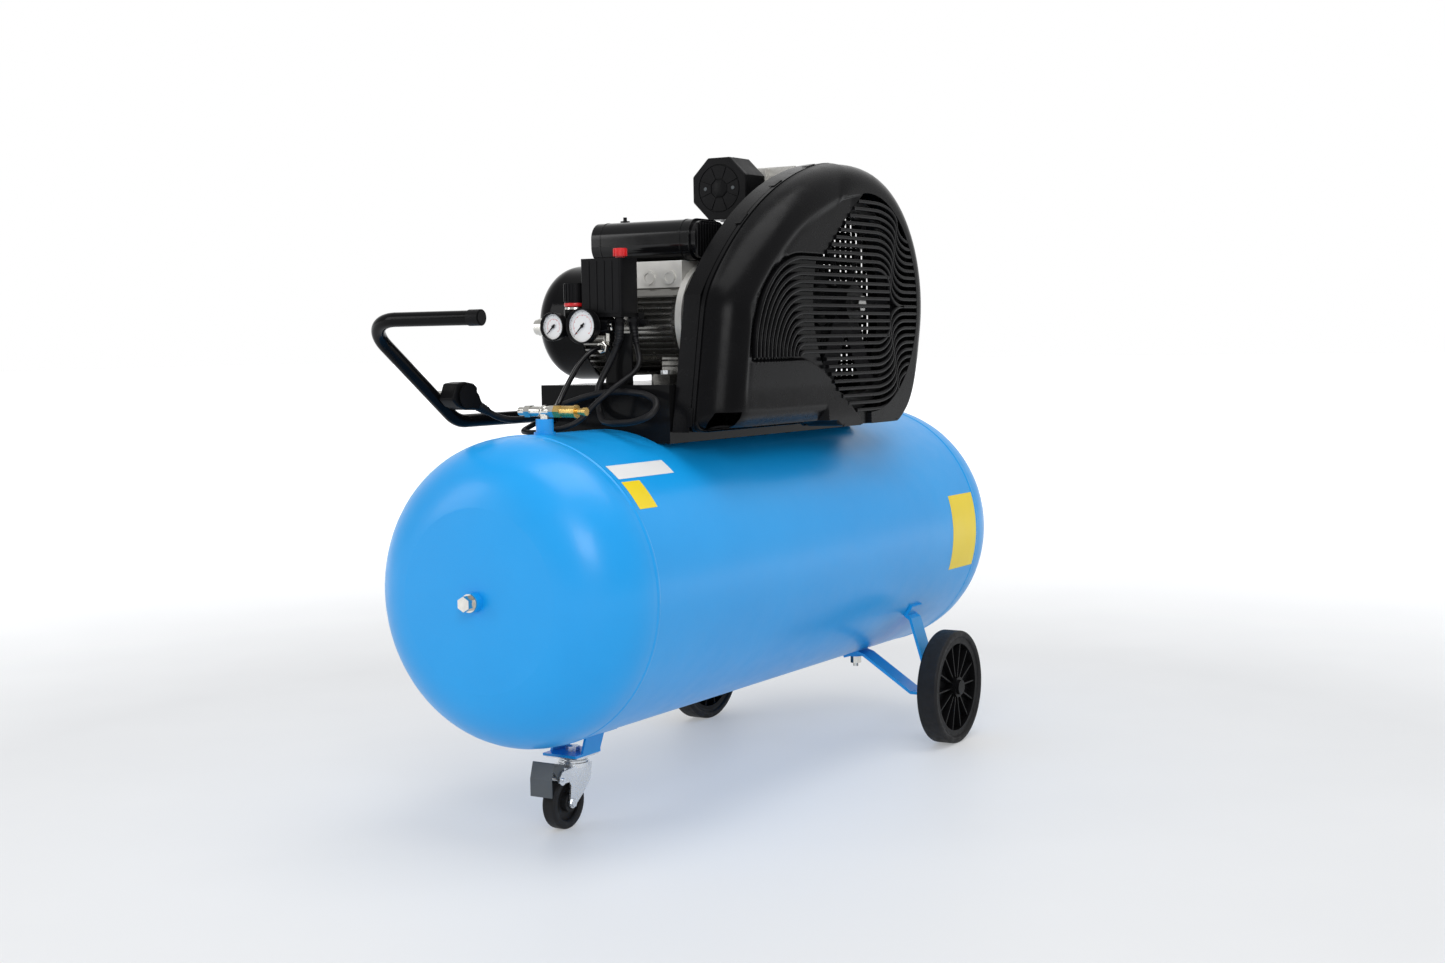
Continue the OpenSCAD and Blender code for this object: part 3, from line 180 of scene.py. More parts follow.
MATERIALS = {
    "tank_paint": tank_paint(),
    "guard_plastic": moulding("guard_plastic", (0.0032, 0.0032, 0.0036), (0.2, 0.3)),
    "satin_plastic": moulding("satin_plastic", (0.005, 0.005, 0.0055), (0.28, 0.4)),
    "black_paint": surface("black_paint", (0.0035, 0.0035, 0.004), (0.08, 0.15), (900, 0.12, 0.0003),
                           coat=0.03, specular=0.06, worn=(0.010, 0.010, 0.010)),
    "gloss_black": surface("gloss_black", (0.004, 0.004, 0.0045), (0.1, 0.18), (1400, 0.05, 0.0002),
                           coat=0.12, specular=0.2),
    "pedal_grey": surface("pedal_grey", (0.07, 0.08, 0.088), (0.4, 0.55), (1200, 0.2, 0.0002)),
    "red_plastic": surface("red_plastic", (0.62, 0.012, 0.015), (0.25, 0.35), (1500, 0.08, 0.0002)),
    "aluminium": surface("aluminium", (0.62, 0.61, 0.58), (0.34, 0.5), (700, 0.3, 0.0004), metallic=0.4,
                         vary=0.16, patches=14),
    "motor_alloy": surface("motor_alloy", (0.26, 0.255, 0.24), (0.18, 0.28), (900, 0.1, 0.0002),
                           metallic=0.85, vary=0.1, patches=14),
    "cast_iron": surface("cast_iron", (0.014, 0.014, 0.016), (0.35, 0.55), (500, 0.5, 0.0006), vary=0.25,
                         patches=18, specular=0.35, worn=(0.03, 0.03, 0.03)),
    "steel": surface("steel", (0.48, 0.48, 0.47), (0.25, 0.4), (300, 0.15, 0.0002), metallic=1.0,
                     brushed=(1, 14, 14)),
    "zinc": surface("zinc", (0.72, 0.74, 0.76), (0.22, 0.32), (900, 0.1, 0.0002), metallic=0.85, vary=0.08,
                    patches=20),
    "nickel": surface("nickel", (0.66, 0.65, 0.61), (0.1, 0.24), (1200, 0.06, 0.0002), metallic=1.0,
                      patches=50),
    "brass": surface("brass", (0.66, 0.45, 0.15), (0.18, 0.34), (900, 0.1, 0.0002), metallic=1.0, vary=0.2,
                     patches=50),
    "copper": surface("copper", (0.62, 0.33, 0.2), (0.25, 0.4), (700, 0.1, 0.0002), metallic=1.0, vary=0.25,
                      patches=20),
    "tyre_rubber": surface("tyre_rubber", (0.011, 0.011, 0.012), (0.5, 0.7), (1300, 0.35, 0.0003), vary=0.3,
                           patches=20, specular=0.25),
    "cable_rubber": surface("cable_rubber", (0.007, 0.007, 0.008), (0.35, 0.5), (1500, 0.2, 0.0002), vary=0.2,
                            specular=0.2),
    "belt_rubber": surface("belt_rubber", (0.02, 0.02, 0.02), (0.6, 0.8), (900, 0.4, 0.0003)),
    "winding": surface("winding", (0.35, 0.12, 0.04), (0.3, 0.5), (500, 0.6, 0.001), metallic=0.5),
    "dial_white": surface("dial_white", (0.78, 0.78, 0.78), (0.35, 0.45), (900, 0.03, 0.0001), vary=0.03),
    "white_plastic": surface("white_plastic", (0.72, 0.72, 0.68), (0.35, 0.5), (900, 0.08, 0.0002),
                             vary=0.06),
    "label_yellow": surface("label_yellow", (0.84, 0.64, 0.01), (0.3, 0.4), (700, 0.04, 0.0001), vary=0.04),
    "label_white": surface("label_white", (0.78, 0.79, 0.80), (0.3, 0.4), (700, 0.04, 0.0001), vary=0.03),
}


def paint(obj, name):
    """Gives an object one of the finishes and no other."""
    obj.data.materials.clear()
    obj.data.materials.append(MATERIALS[name])


for part in frame["record"]["subparts"]:
    paint(frame["nodes"][part["node"]], part["material_slot"])
paint(frame["nodes"]["caster_brake"], "pedal_grey")
paint(frame["nodes"]["motor_frame"], "motor_alloy")


# ---------- making pieces ----------

def piece(name, points, faces, material, body="root", smooth=45, slot=None):
    """A mesh piece from points in metres, smooth-shaded up to an angle in degrees, riding on a body."""
    mesh = bpy.data.meshes.new(name)
    mesh.from_pydata([tuple(p) for p in points], [], faces)
    mesh.update()
    work = bmesh.new()
    work.from_mesh(mesh)
    bmesh.ops.remove_doubles(work, verts=work.verts, dist=1e-6)
    bmesh.ops.recalc_face_normals(work, faces=work.faces)
    for edge in work.edges:
        edge.smooth = len(edge.link_faces) == 2 and edge.calc_face_angle(0) < math.radians(smooth)
    for face in work.faces:
        face.smooth = True
    work.to_mesh(mesh)
    work.free()
    obj = bpy.data.objects.new(name, mesh)
    bpy.context.scene.collection.objects.link(obj)
    paint(obj, material)
    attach(obj, body)
    return obj


def merged(parts):
    """Points and faces of several (points, faces) parts as one."""
    points, faces = [], []
    for part_points, part_faces in parts:
        base = len(points)
        points += list(part_points)
        faces += [tuple(base + i for i in face) for face in part_faces]
    return points, faces


def lathe(profile, start, direction, sides=64):
    """Solid of revolution: profile is (radius, height) in millimetres, closed on the axis or as a ring."""
    axis = Vector(direction).normalized()
    across = axis.orthogonal().normalized()
    other = axis.cross(across)
    rows = []
    for r, h in profile:
        rows.append([start + (axis * h + (across * math.cos(a) + other * math.sin(a)) * r) * MM
                     for a in (2 * math.pi * k / sides for k in range(sides))])
    points = [p for row in rows for p in row]
    faces = []
    for i in range(len(rows) - 1):
        for k in range(sides):
            n = (k + 1) % sides
            faces.append((i * sides + k, i * sides + n, (i + 1) * sides + n, (i + 1) * sides + k))
    for i, flip in ((0, True), (len(rows) - 1, False)):
        if profile[i][0] > 1e-6 and profile[0] != profile[-1]:
            ring = [i * sides + k for k in range(sides)]
            faces.append(tuple(reversed(ring)) if flip else tuple(ring))
    return points, faces


def sweep(path, radii, sides=24):
    """Round tube along points in metres, with a radius in millimetres at each point."""
    path = [Vector(p) for p in path]
    side = None
    points, faces = [], []
    for i, p in enumerate(path):
        ahead = (path[min(i + 1, len(path) - 1)] - path[max(i - 1, 0)]).normalized()
        side = ahead.orthogonal() if side is None else side - ahead * side.dot(ahead)
        side.normalize()
        up = ahead.cross(side)
        for k in range(sides):
            a = 2 * math.pi * k / sides
            points.append(p + (side * math.cos(a) + up * math.sin(a)) * radii[i] * MM)
    for i in range(len(path) - 1):
        for k in range(sides):
            n = (k + 1) % sides
            faces.append((i * sides + k, i * sides + n, (i + 1) * sides + n, (i + 1) * sides + k))
    faces.append(tuple(reversed(range(sides))))
    faces.append(tuple((len(path) - 1) * sides + k for k in range(sides)))
    return points, faces


def prism(near, far):
    """Closed prism between two outlines of matching points."""
    n = len(near)
    faces = [tuple(range(n)), tuple(reversed(range(n, 2 * n)))]
    faces += [(i, n + i, n + (i + 1) % n, (i + 1) % n) for i in range(n)]
    return near + far, faces


def prism_y(outline, y0, y1):
    """Closed prism between two Y stations from an (x, z) outline in millimetres."""
    return prism([at(x, y0, z) for x, z in outline], [at(x, y1, z) for x, z in outline])


def bevelled(obj, width, segments=2, angle=35):
    """Rounds an object's edges by a width in millimetres."""
    bevel = obj.modifiers.new("round", "BEVEL")
    bevel.width = width * MM
    bevel.segments = segments
    bevel.limit_method = "ANGLE"
    bevel.angle_limit = math.radians(angle)
    bevel.harden_normals = True


# ---------- cords ----------

MAINS_ROUTE = [
    (-326, -20, 744), (-326, -19, 726), (-328, -12, 706), (-333, -3, 684), (-342, 3, 665),
    (-349, 6, 648), (-350, 5, 631), (-355, 0, 616), (-367, -12, 605), (-384, -36, 600),
    (-395, -66, 600), (-395, -96, 604), (-386, -115, 614), (-372, -114, 628), (-362, -95, 639),
    (-358, -64, 644), (-359, -30, 645), (-362, 4, 641), (-364, 36, 633), (-369, 64, 624),
    (-384, 83, 615), (-406, 91, 609), (-432, 92, 606), (-456, 95, 607), (-474, 102, 612),
    (-490, 108, 620), (-508, 111, 629),
]
MOTOR_ROUTE = [
    (-300, -28, 744), (-300, -30, 726), (-304, -38, 706), (-315, -47, 688), (-335, -51, 674),
    (-357, -48, 663), (-379, -38, 648), (-397, -20, 627), (-411, -5, 606), (-428, 10, 595),
    (-446, 27, 591), (-455, 47, 588), (-451, 67, 588), (-436, 83, 589), (-412, 92, 593),
    (-386, 94, 599), (-362, 94, 602), (-334, 94, 602),
]
TUBE_ROUTE = [
    (-343, 2, 712), (-354, 2, 711), (-372, 4, 704), (-392, 8, 689), (-410, 10, 670),
    (-427, 11, 651), (-443, 10, 634), (-457, 6, 625), (-468, 1, 622), (-478, 0, 621),
]


def line(name, route, diameter, material, node):
    """A cord as a round curve along its route, in place of its CAD node, which is hidden."""
    curve = bpy.data.curves.new(name, "CURVE")
    curve.dimensions = "3D"
    curve.resolution_u = 8
    curve.bevel_depth = diameter / 2 * MM
    curve.bevel_resolution = 5
    curve.use_fill_caps = True
    spline = curve.splines.new("BEZIER")
    spline.bezier_points.add(len(route) - 1)
    for point, place in zip(spline.bezier_points, route):
        point.co = at(*place)
        point.handle_left_type = "AUTO"
        point.handle_right_type = "AUTO"
    obj = bpy.data.objects.new(name, curve)
    bpy.context.scene.collection.objects.link(obj)
    paint(obj, material)
    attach(obj, "root")
    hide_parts(node)


def relief(name, route, radii):
    """Ribbed, tapered strain relief along the first points of a cord."""
    path, sizes = [], []
    steps = 24
    places = [at(*p) for p in route]
    for i in range(steps + 1):
        t = i / steps * (len(places) - 1)
        k = min(int(t), len(places) - 2)
        path.append(places[k].lerp(places[k + 1], t - k))
        rib = 0.7 if i % 3 == 1 and 1 < i < steps - 1 else 0.0
        sizes.append(radii[0] + (radii[1] - radii[0]) * i / steps + rib)
    return piece(name, *sweep(path, sizes), "cable_rubber")


# ---------- mains plug ----------

def plug_body():
    """Rubber plug: a thick rounded body, a round boss, a waisted neck and a ribbed sleeve."""
    outline = [(-584, 641), (-574, 664), (-553, 666), (-534, 663), (-525, 657), (-526, 651),
               (-521, 646), (-515, 634), (-524, 623), (-538, 625), (-556, 625), (-573, 631)]
    body = piece("plug_body", *prism_y(outline, 97, 123.5), "satin_plastic", smooth=35)
    bevelled(body, 3, 3, 40)
    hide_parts("mains_plug")
    rim = lathe([(0, 0), (17.5, 0), (19, 1.5), (19, 5), (0, 5)], at(-556, 123.2, 645), (0, -1, 0))
    boss = lathe([(0, 0), (13, 0), (16, -1.6), (17, -4), (0, -4)], at(-556, 96.4, 645), (0, 1, 0))
    pins = []
    along = Vector((-0.804, 0, 0.595)) * 9.5
    for s in (-1, 1):
        start = at(-556 + s * along.x, 121, 645 + s * along.z)
        pins.append(lathe([(0, 0), (2.4, 0), (2.4, 20.6), (1.6, 22), (0, 22)], start, (0, 1, 0), 20))
    trim = piece("plug_disc", *merged([rim, boss]), "satin_plastic")
    metal = piece("plug_pins", *merged(pins), "nickel")
    sleeve = relief("plug_sleeve", [(-519, 110.5, 635), (-508, 111, 629), (-490, 108, 620)], (8.6, 6.0))
    return [body, trim, metal, sleeve]


# ---------- belt guard ----------

# Y of the front shell's rim, seam and face; heights of its lower edge and of the flange under the grille
GUARD_BACK, SEAM_Y, GUARD_FACE = -150.6, -163, -220
GUARD_LOW, GUARD_FOOT = 583, 578
# The outline is measured round a pole inside it: a round end about the crank, and a long arc over the top
POLE = (40, 760)
END_R, TOP_R, TOP_X, TOP_Z = 232, 601, 167, 415
# The back leans from its foot to its top corner; the part under the arc ends at SPLIT_X, in the round end
BACK_FOOT_X, BACK_TOP_X, BACK_TOP_Z, SPLIT_X = -343, -303, 790, 93
# The rounded shoulder's width over the top and round the end, and the power of its curve
SHOULDER_TOP, SHOULDER_END, ROUNDNESS = 64, 44, 2.3
# Steps round the outline, over the shoulder and across the face
AROUND, SHOULDER_STEPS, FACE_STEPS = 600, 18, 104
# The steps round the outline where the back bends over, and how often the outline and that bend are eased
BEND, EASING, BEND_EASING = slice(235, 335), 6, 60
# Points at the start of each row that keep the rim's own Y
RIM_POINTS = 8
# The grille's opening: a circle with a chord across its upper left
OPENING_R, BAR_END_R = 181, 185
CHORD = ((89, 948), (-35, 854))
# The grille bars' spacing and the height of the middle one
PITCH, MIDDLE_Z = 12.25, 773
# Counted from the middle bar: how many there are, the last that begins as a rib, the first that swings
SIDE_BARS, LAST_RIB, FIRST_SWING = 14, 6, 5
# The ribbed panel's corner, its reach back and up, and the depths of the panel and the crease
RIB_X, RIB_Z, RIB_WIDE, RIB_HIGH = -105, 693, 160, 162
RECESS, CREASE = 6.5, 3.4


def circle_exit(angle, x, z, r):
    """Distance from the pole to a circle round it, in a direction."""
    dx, dz = POLE[0] - x, POLE[1] - z
    h = dx * math.cos(angle) + dz * math.sin(angle)
    return -h + math.sqrt(max(h * h - dx * dx - dz * dz + r * r, 0))


def wall_exit(angle, a, b):
    """Distance from the pole to the straight wall through a and b, or a far one if it points away."""
    nx, nz = b[1] - a[1], a[0] - b[0]
    gap = nx * (a[0] - POLE[0]) + nz * (a[1] - POLE[1])
    rate = nx * math.cos(angle) + nz * math.sin(angle)
    return gap / rate if gap / rate > 0 else 1e4


def soft_step(value, low, high):
    """0 below low, 1 above high, and an even curve between."""
    t = min(max((value - low) / (high - low), 0.0), 1.0)
    return t * t * (3 - 2 * t)


def guard_exit(angle, inset_top, inset_end):
    """Distance from the pole to the guard's outline, moved in at the back and top and at the round end.

    The round end's shoulder narrows towards its foot, where it meets the flat flange under the grille."""
    turned = (angle + math.pi) % (2 * math.pi) - math.pi + 1e-7
    inset_end *= 1 - 0.8 * soft_step(-turned, 0.1, 0.65)
    low = GUARD_LOW + min(inset_top, 6)
    floor = wall_exit(turned, (-400, low), (400, low))
    foot = wall_exit(turned, (-400, GUARD_FOOT), (400, GUARD_FOOT))
    end = min(circle_exit(turned, CRANK_X, CRANK_Z, END_R - inset_end), foot)
    back = wall_exit(turned, (BACK_FOOT_X + inset_top, GUARD_LOW), (BACK_TOP_X + inset_top, BACK_TOP_Z))
    rear = min(back,
               wall_exit(turned, (SPLIT_X, 500), (SPLIT_X, 1100)),
               circle_exit(turned, TOP_X, TOP_Z, TOP_R - inset_top), floor)
    return max(end, rear)


def panel_depth(x, z):
    """Share of the ribbed panel's depth at a place: 1 on its floor, 0 on the face round it."""
    if x > CRANK_X:
        return 0
    if x > RIB_X:
        top = RIB_Z + RIB_HIGH - z
    else:
        top = (1 - math.hypot((x - RIB_X) / RIB_WIDE, (z - RIB_Z) / RIB_HIGH)) * RIB_WIDE
    floor = 686 - 35 * max((x + 101) / 95, 0) ** 1.6
    return soft_step(min(top, z - floor), 0, 4)


def crease_depth(x, z):
    """Share of the small step between the rounded shoulder and the flat face inside it."""
    arc = TOP_R - math.hypot(x - TOP_X, z - TOP_Z) - 46 - 0.04 * (x + 112)
    left = x + 262 + (786 - z) * 0.16
    return soft_step(min(arc, left), 0, 5) * soft_step(100 - x, 0, 40) * soft_step(z - 590, 0, 60)


def lower_edge(x, z):
    """How far the face rolls back above the platform, in millimetres."""
    return 20 * soft_step(618 - z, 0, 34) ** 1.5 * soft_step(-28 - x, 0, 5)


def shell_row(angle):
    """(distance from the pole, Y) from the shell's rim over its shoulder and face to the grille's opening."""
    edge = guard_exit(angle, 0, 0)
    row = [(edge - 2.2, GUARD_BACK), (edge - 2.2, GUARD_BACK - 2.4), (edge, GUARD_BACK - 2.8),
           (edge, SEAM_Y + 3.6), (edge - 2.6, SEAM_Y + 3.2), (edge - 2.6, SEAM_Y + 0.2),
           (edge - 0.1, SEAM_Y - 0.4)]
    for k in range(1, SHOULDER_STEPS + 1):
        t = math.pi / 2 * k / SHOULDER_STEPS
        inset = 1 - math.cos(t) ** (2 / ROUNDNESS)
        y = GUARD_BACK + (GUARD_FACE - GUARD_BACK) * math.sin(t) ** (2 / ROUNDNESS)
        if y < SEAM_Y - 1:
            row.append((guard_exit(angle, inset * SHOULDER_TOP, inset * SHOULDER_END), y))
    shoulder_end = len(row)
    outer = row[-1][0]
    inner = min(circle_exit(angle, CRANK_X, CRANK_Z, OPENING_R), wall_exit(angle, *CHORD))
    row += [(outer + (inner - outer) * k / FACE_STEPS, GUARD_FACE) for k in range(1, FACE_STEPS + 1)]
    return row, shoulder_end


def cut_out(obj, points, faces):
    """Cuts a closed shape out of an object and leaves it a plain mesh."""
    mesh = bpy.data.meshes.new("cutter")
    mesh.from_pydata([tuple(p) for p in points], [], faces)
    work = bmesh.new()
    work.from_mesh(mesh)
    bmesh.ops.recalc_face_normals(work, faces=work.faces)
    work.to_mesh(mesh)
    work.free()
    cutter = bpy.data.objects.new("cutter", mesh)
    bpy.context.scene.collection.objects.link(cutter)
    cut = obj.modifiers.new("cut", "BOOLEAN")
    cut.operation = "DIFFERENCE"
    cut.solver = "FAST"
    cut.object = cutter
    bpy.context.view_layer.update()
    solid = obj.evaluated_get(bpy.context.evaluated_depsgraph_get())
    result = bpy.data.meshes.new_from_object(solid)
    obj.modifiers.clear()
    obj.data = result
    bpy.data.objects.remove(cutter)


def corner_window():
    """Cutter for the cable opening in the guard's lower rear corner, seen along its own diagonal."""
    along, across = Vector((0.853, 0.522, 0)), Vector((0.522, -0.853, 0))
    outline = [(-10, 613), (30, 613), (27, 604), (19, 594), (8, 588), (-27, 587), (-20, 600)]
    ends = []
    for depth in (-430, -330):
        spots = [(along * depth + across * side, z) for side, z in outline]
        ends.append([at(spot.x, spot.y, z) for spot, z in spots])
    return prism(*ends)


def eased_ring(grid, shoulder_end):
    """Rounds the outline's corners a little, and far more where the back bends over into the top."""
    for turn in range(BEND_EASING):
        ring = grid[:, :shoulder_end]
        eased = ring / 2 + (np.roll(ring, 1, 0) + np.roll(ring, -1, 0)) / 4
        if turn < EASING:
            grid[:, :shoulder_end] = eased
        grid[BEND, :shoulder_end] = eased[BEND]


def guard_shell():
    """Front shell of the belt guard as one curved skin from its rim to the grille's opening."""
    rows = []
    for i in range(AROUND):
        angle = 2 * math.pi * i / AROUND
        row, shoulder_end = shell_row(angle)
        ahead_x, ahead_z = math.cos(angle), math.sin(angle)
        rows.append([(POLE[0] + far * ahead_x, y, POLE[1] + far * ahead_z) for far, y in row])
    grid = np.array(rows)
    eased_ring(grid, shoulder_end)
    count = grid.shape[1]
    for i in range(AROUND):
        for k in range(RIM_POINTS, count):
            x, _, z = grid[i, k]
            grid[i, k, 1] += RECESS * panel_depth(x, z) + CREASE * crease_depth(x, z) + lower_edge(x, z)
    points = [at(*p) for row in grid for p in row]
    faces = []
    for i in range(AROUND):
        n = (i + 1) % AROUND
        for k in range(count - 1):
            faces.append((i * count + k, n * count + k, n * count + k + 1, i * count + k + 1))
    shell = piece("guard_front_shell", points, faces, "guard_plastic", smooth=50)
    wall = shell.modifiers.new("wall", "SOLIDIFY")
    wall.thickness = 3 * MM
    wall.offset = -1
    cut_out(shell, *corner_window())
    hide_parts("guard_front")


def bar_start(i):
    """Where grille bar i leaves the plate on its left."""
    z = MIDDLE_Z + i * PITCH
    if z > CHORD[1][1]:
        (x1, z1), (x0, z0) = CHORD
        return x0 + (z - z0) * (x1 - x0) / (z1 - z0) - 4
    return CRANK_X - math.sqrt((OPENING_R + 4) ** 2 - (z - CRANK_Z) ** 2)


def bar_route(i):
    """Centre line of grille bar i in (x, z).

    The middle bars begin as ribs that curve down at the back; the outer bars swing inwards in front."""
    z = MIDDLE_Z + i * PITCH
    route = []
    if abs(i) <= LAST_RIB:
        wide, high = 81 + 11.5 * i, z - RIB_Z
        for k in range(25):
            a = math.pi / 2 * k / 24
            route.append((RIB_X - wide * math.cos(a), RIB_Z + high * math.sin(a)))
        start = RIB_X
    else:
        start = bar_start(i)
    swing = abs(i) >= FIRST_SWING
    outer = abs(i) - FIRST_SWING
    turn = 150 - outer
    stop = turn if swing else 197
    steps = max(int((stop - start) / 6), 2)
    route += [(start + (stop - start) * k / steps, z) for k in range(1, steps + 1)]
    if not swing:
        return route
    sign = 1 if i > 0 else -1
    end_z = MIDDLE_Z + (i - FIRST_SWING * sign) * PITCH
    half = (z - end_z) / 2
    upright = 199 + outer * 3.2
    finish = 249 + outer * 3.4
    quarter = [math.pi / 2 * k / 12 for k in range(1, 13)]
    route += [(turn + (upright - turn) * math.sin(a), z - half * (1 - math.cos(a))) for a in quarter]
    route += [(finish - (finish - upright) * math.cos(a), z - half - half * math.sin(a)) for a in quarter]
    while route[-1][0] < CRANK_X + END_R:
        route.append((route[-1][0] + 3, end_z))
    return route


def grille():
    """All bars and ribs of the grille, each a rounded strip under the guard's face."""
    section = [(-3.1, 7.0), (-3.0, 1.6), (-2.3, 0.6), (-1.2, 0.2),
               (1.2, 0.2), (2.3, 0.6), (3.0, 1.6), (3.1, 7.0)]
    n = len(section)
    middle = (CRANK_X, CRANK_Z)
    parts = []
    for i in range(-SIDE_BARS, SIDE_BARS + 1):
        route = [p for p in bar_route(i) if p[0] < CRANK_X or math.dist(p, middle) < BAR_END_R]
        points, faces = [], []
        for k, (x, z) in enumerate(route):
            a, b = route[max(k - 1, 0)], route[min(k + 1, len(route) - 1)]
            long = math.dist(a, b) or 1
            nx, nz = -(b[1] - a[1]) / long, (b[0] - a[0]) / long
            points += [at(x + s * nx, GUARD_FACE + d, z + s * nz) for s, d in section]
        for k in range(len(route) - 1):
            for j in range(n):
                faces.append((k * n + j, k * n + (j + 1) % n, (k + 1) * n + (j + 1) % n, (k + 1) * n + j))
        faces.append(tuple(range(n)))
        faces.append(tuple((len(route) - 1) * n + j for j in reversed(range(n))))
        parts.append((points, faces))
    piece("guard_grille", *merged(parts), "guard_plastic", smooth=50)


def rear_shade_louvres():
    """Thin dark cross bars inside the rear shell's air slots, either side of the hole for the pump's shaft:
    painted shade, put in to dim the backdrop seen through the slots.
    """
    bars = []
    reach, hub, pitch, high = 168, 58, 8.5, 5.2
    front, back = -124.4, -122.4
    for i in range(-19, 20):
        rise = i * pitch
        z = CRANK_Z + rise
        far = math.sqrt(reach ** 2 - rise ** 2)
        near = math.sqrt(max(hub ** 2 - rise ** 2, 1))
        for side in (-1, 1):
            x0, x1 = CRANK_X + side * near, CRANK_X + side * far
            bars.append(prism_y([(x0, z), (x1, z), (x1, z + high), (x0, z + high)], front, back))
    piece("rear_shade_louvres", *merged(bars), "guard_plastic")


def guard_clips():
    """Snap tabs that hold the two shells together, on the seam."""
    parts = []
    for degrees, half in ((202, 12), (146, 14), (118, 14), (90, 14), (60, 12)):
        middle = math.radians(degrees)
        far = guard_exit(middle, 0, 0)
        spread = half / far
        outline = []
        for lift in (0.1, 1.5):
            for a in (middle - spread, middle + spread):
                reach = guard_exit(a, 0, 0) + lift
                outline.append((POLE[0] + reach * math.cos(a), POLE[1] + reach * math.sin(a)))
        low_a, low_b, high_a, high_b = outline
        parts.append(prism_y([low_a, low_b, high_b, high_a], -146, -156))
    bevelled(piece("guard_clips", *merged(parts), "guard_plastic", smooth=40), 0.6)


# ---------- gauges ----------

DIAL_DEPTH = 4.85


def dial_marks(y, r):
    """Printed ticks and the red scale of one dial, as flat (points, faces) parts."""
    def spot(radius, a):
        return at(DIAL_X + DIAL_DEPTH - 0.06, y + radius * math.cos(a), MANIFOLD_Z + radius * math.sin(a))

    def mark(outer, inner, a, b):
        return [spot(outer, a), spot(outer, b), spot(inner, b), spot(inner, a)], [(0, 1, 2, 3)]

    ticks, scale = [], []
    outer = r - 2.8
    for i in range(41):
        a = math.radians(-45 + 270 * i / 40)
        long, half = (3.2, 0.012) if i % 5 == 0 else (1.7, 0.007)
        ticks.append(mark(outer, outer - long, a - half, a + half))
        if i % 5 == 0:
            scale.append(mark(r - 9.4, r - 11, a - 0.03, a + 0.03))
    for k in range(48):
        a, b = (math.radians(-45 + 270 * j / 48) for j in (k, k + 1))
        scale.append(mark(r - 9.1, r - 9.5, a, b))
    return ticks, scale


def gauges():
    """Both pressure gauges: black cases with a rolled bezel, white dials, ticks and a red inner scale."""
    cases, dials, ticks, scales = [], [], [], []
    for y, r in ((28, 26), (82, 21)):
        case = [(1.6, 9), (1.6, 5.05), (r - 1.4, 5.05), (r - 1.4, 0), (r - 1.0, -1), (r - 0.3, -1.45),
                (r + 0.5, -1.3), (r + 1, -0.5), (r + 1, 1.6), (r + 0.2, 2.2), (r, 3), (r, 13),
                (r - 0.7, 13.4), (r - 0.7, 14.4), (r - 0.2, 14.8), (r - 0.6, 16.4), (r - 2, 17), (0, 17)]
        disc = [(1.6, 5), (1.6, DIAL_DEPTH), (r - 1.5, DIAL_DEPTH), (r - 1.5, 5), (1.6, 5)]
        middle = at(DIAL_X, y, MANIFOLD_Z)
        cases.append(lathe(case, middle, (1, 0, 0), 72))
        dials.append(lathe(disc, middle, (1, 0, 0), 72))
        black, red = dial_marks(y, r)
        ticks += black
        scales += red
    body = piece("gauge_bodies", *merged(cases), "satin_plastic")
    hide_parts("gauge_cases")
    piece("gauge_dials", *merged(dials), "dial_white")
    piece("gauge_ticks", *merged(ticks), "gloss_black")
    piece("gauge_scales", *merged(scales), "red_plastic")


def regulator_rings():
    """Red ring round the knob's foot and the plated ring nut under it."""
    red = [(15.4, 0.3), (16.3, 0.3), (16.6, 0.8), (16.6, 5.2), (16.3, 5.7), (15.4, 5.7), (15.4, 0.3)]
    piece("regulator_ring", *lathe(red, at(MANIFOLD_X, 62, MANIFOLD_Z + 30), (0, 0, 1)), "red_plastic",
          body="regulator_knob")
    nut = [(13.9, 20.5), (15.2, 20.5), (15.6, 21), (15.6, 29), (15.2, 29.5), (13.9, 29.5), (13.9, 20.5)]
    piece("regulator_nut", *lathe(nut, at(MANIFOLD_X, 62, MANIFOLD_Z), (0, 0, 1)), "nickel")


def tube_fittings():
    """Plated elbow with its two nuts where the pressure tube meets the manifold, and the end plug."""
    middle, bend = at(MANIFOLD_X, 2, MANIFOLD_Z), at(MANIFOLD_X, 2, MANIFOLD_Z - 33)
    down, forward = (0, 0, -1), (-1, 0, 0)
    upper_nut = [(0, 24), (7.7, 24.2), (8.9, 25), (8.9, 31), (7.7, 32.2), (0, 32.4)]
    stem = [(0, 10.4), (6.4, 10.4), (6.4, 24.5), (0, 24.5)]
    elbow = [(0, -7.2), (5.2, -6.8), (7.0, -5.4), (7.0, 19), (6.4, 20.3), (4.4, 20.3), (4.4, 18), (0, 18)]
    nut = [(0, 11), (8.4, 11), (9.4, 12), (9.4, 17), (8.4, 18), (0, 18)]
    end_plug = [(0, 4.9), (9.2, 4.9), (10, 5.8), (10, 10.2), (9.2, 11.1), (0, 11.1)]
    parts = [
        lathe(upper_nut, middle, down, 6),
        lathe(stem, middle, down, 32),
        lathe(elbow, bend, forward, 32),
        lathe(nut, bend, forward, 6),
        lathe(end_plug, at(MANIFOLD_X, 0, MANIFOLD_Z), (0, -1, 0), 6),
    ]
    piece("tube_fittings", *merged(parts), "nickel", smooth=40)


# ---------- intake filter and capacitor box ----------

FILTER_X, FILTER_Y, FILTER_Z, FILTER_R = -50, -34, 967, 50


def octagon_reach(a, flat):
    """Distance to an octagon's edge in a direction, from the half width over its flats."""
    sector = math.pi / 4
    return flat / math.cos((a + sector / 2) % sector - sector / 2)


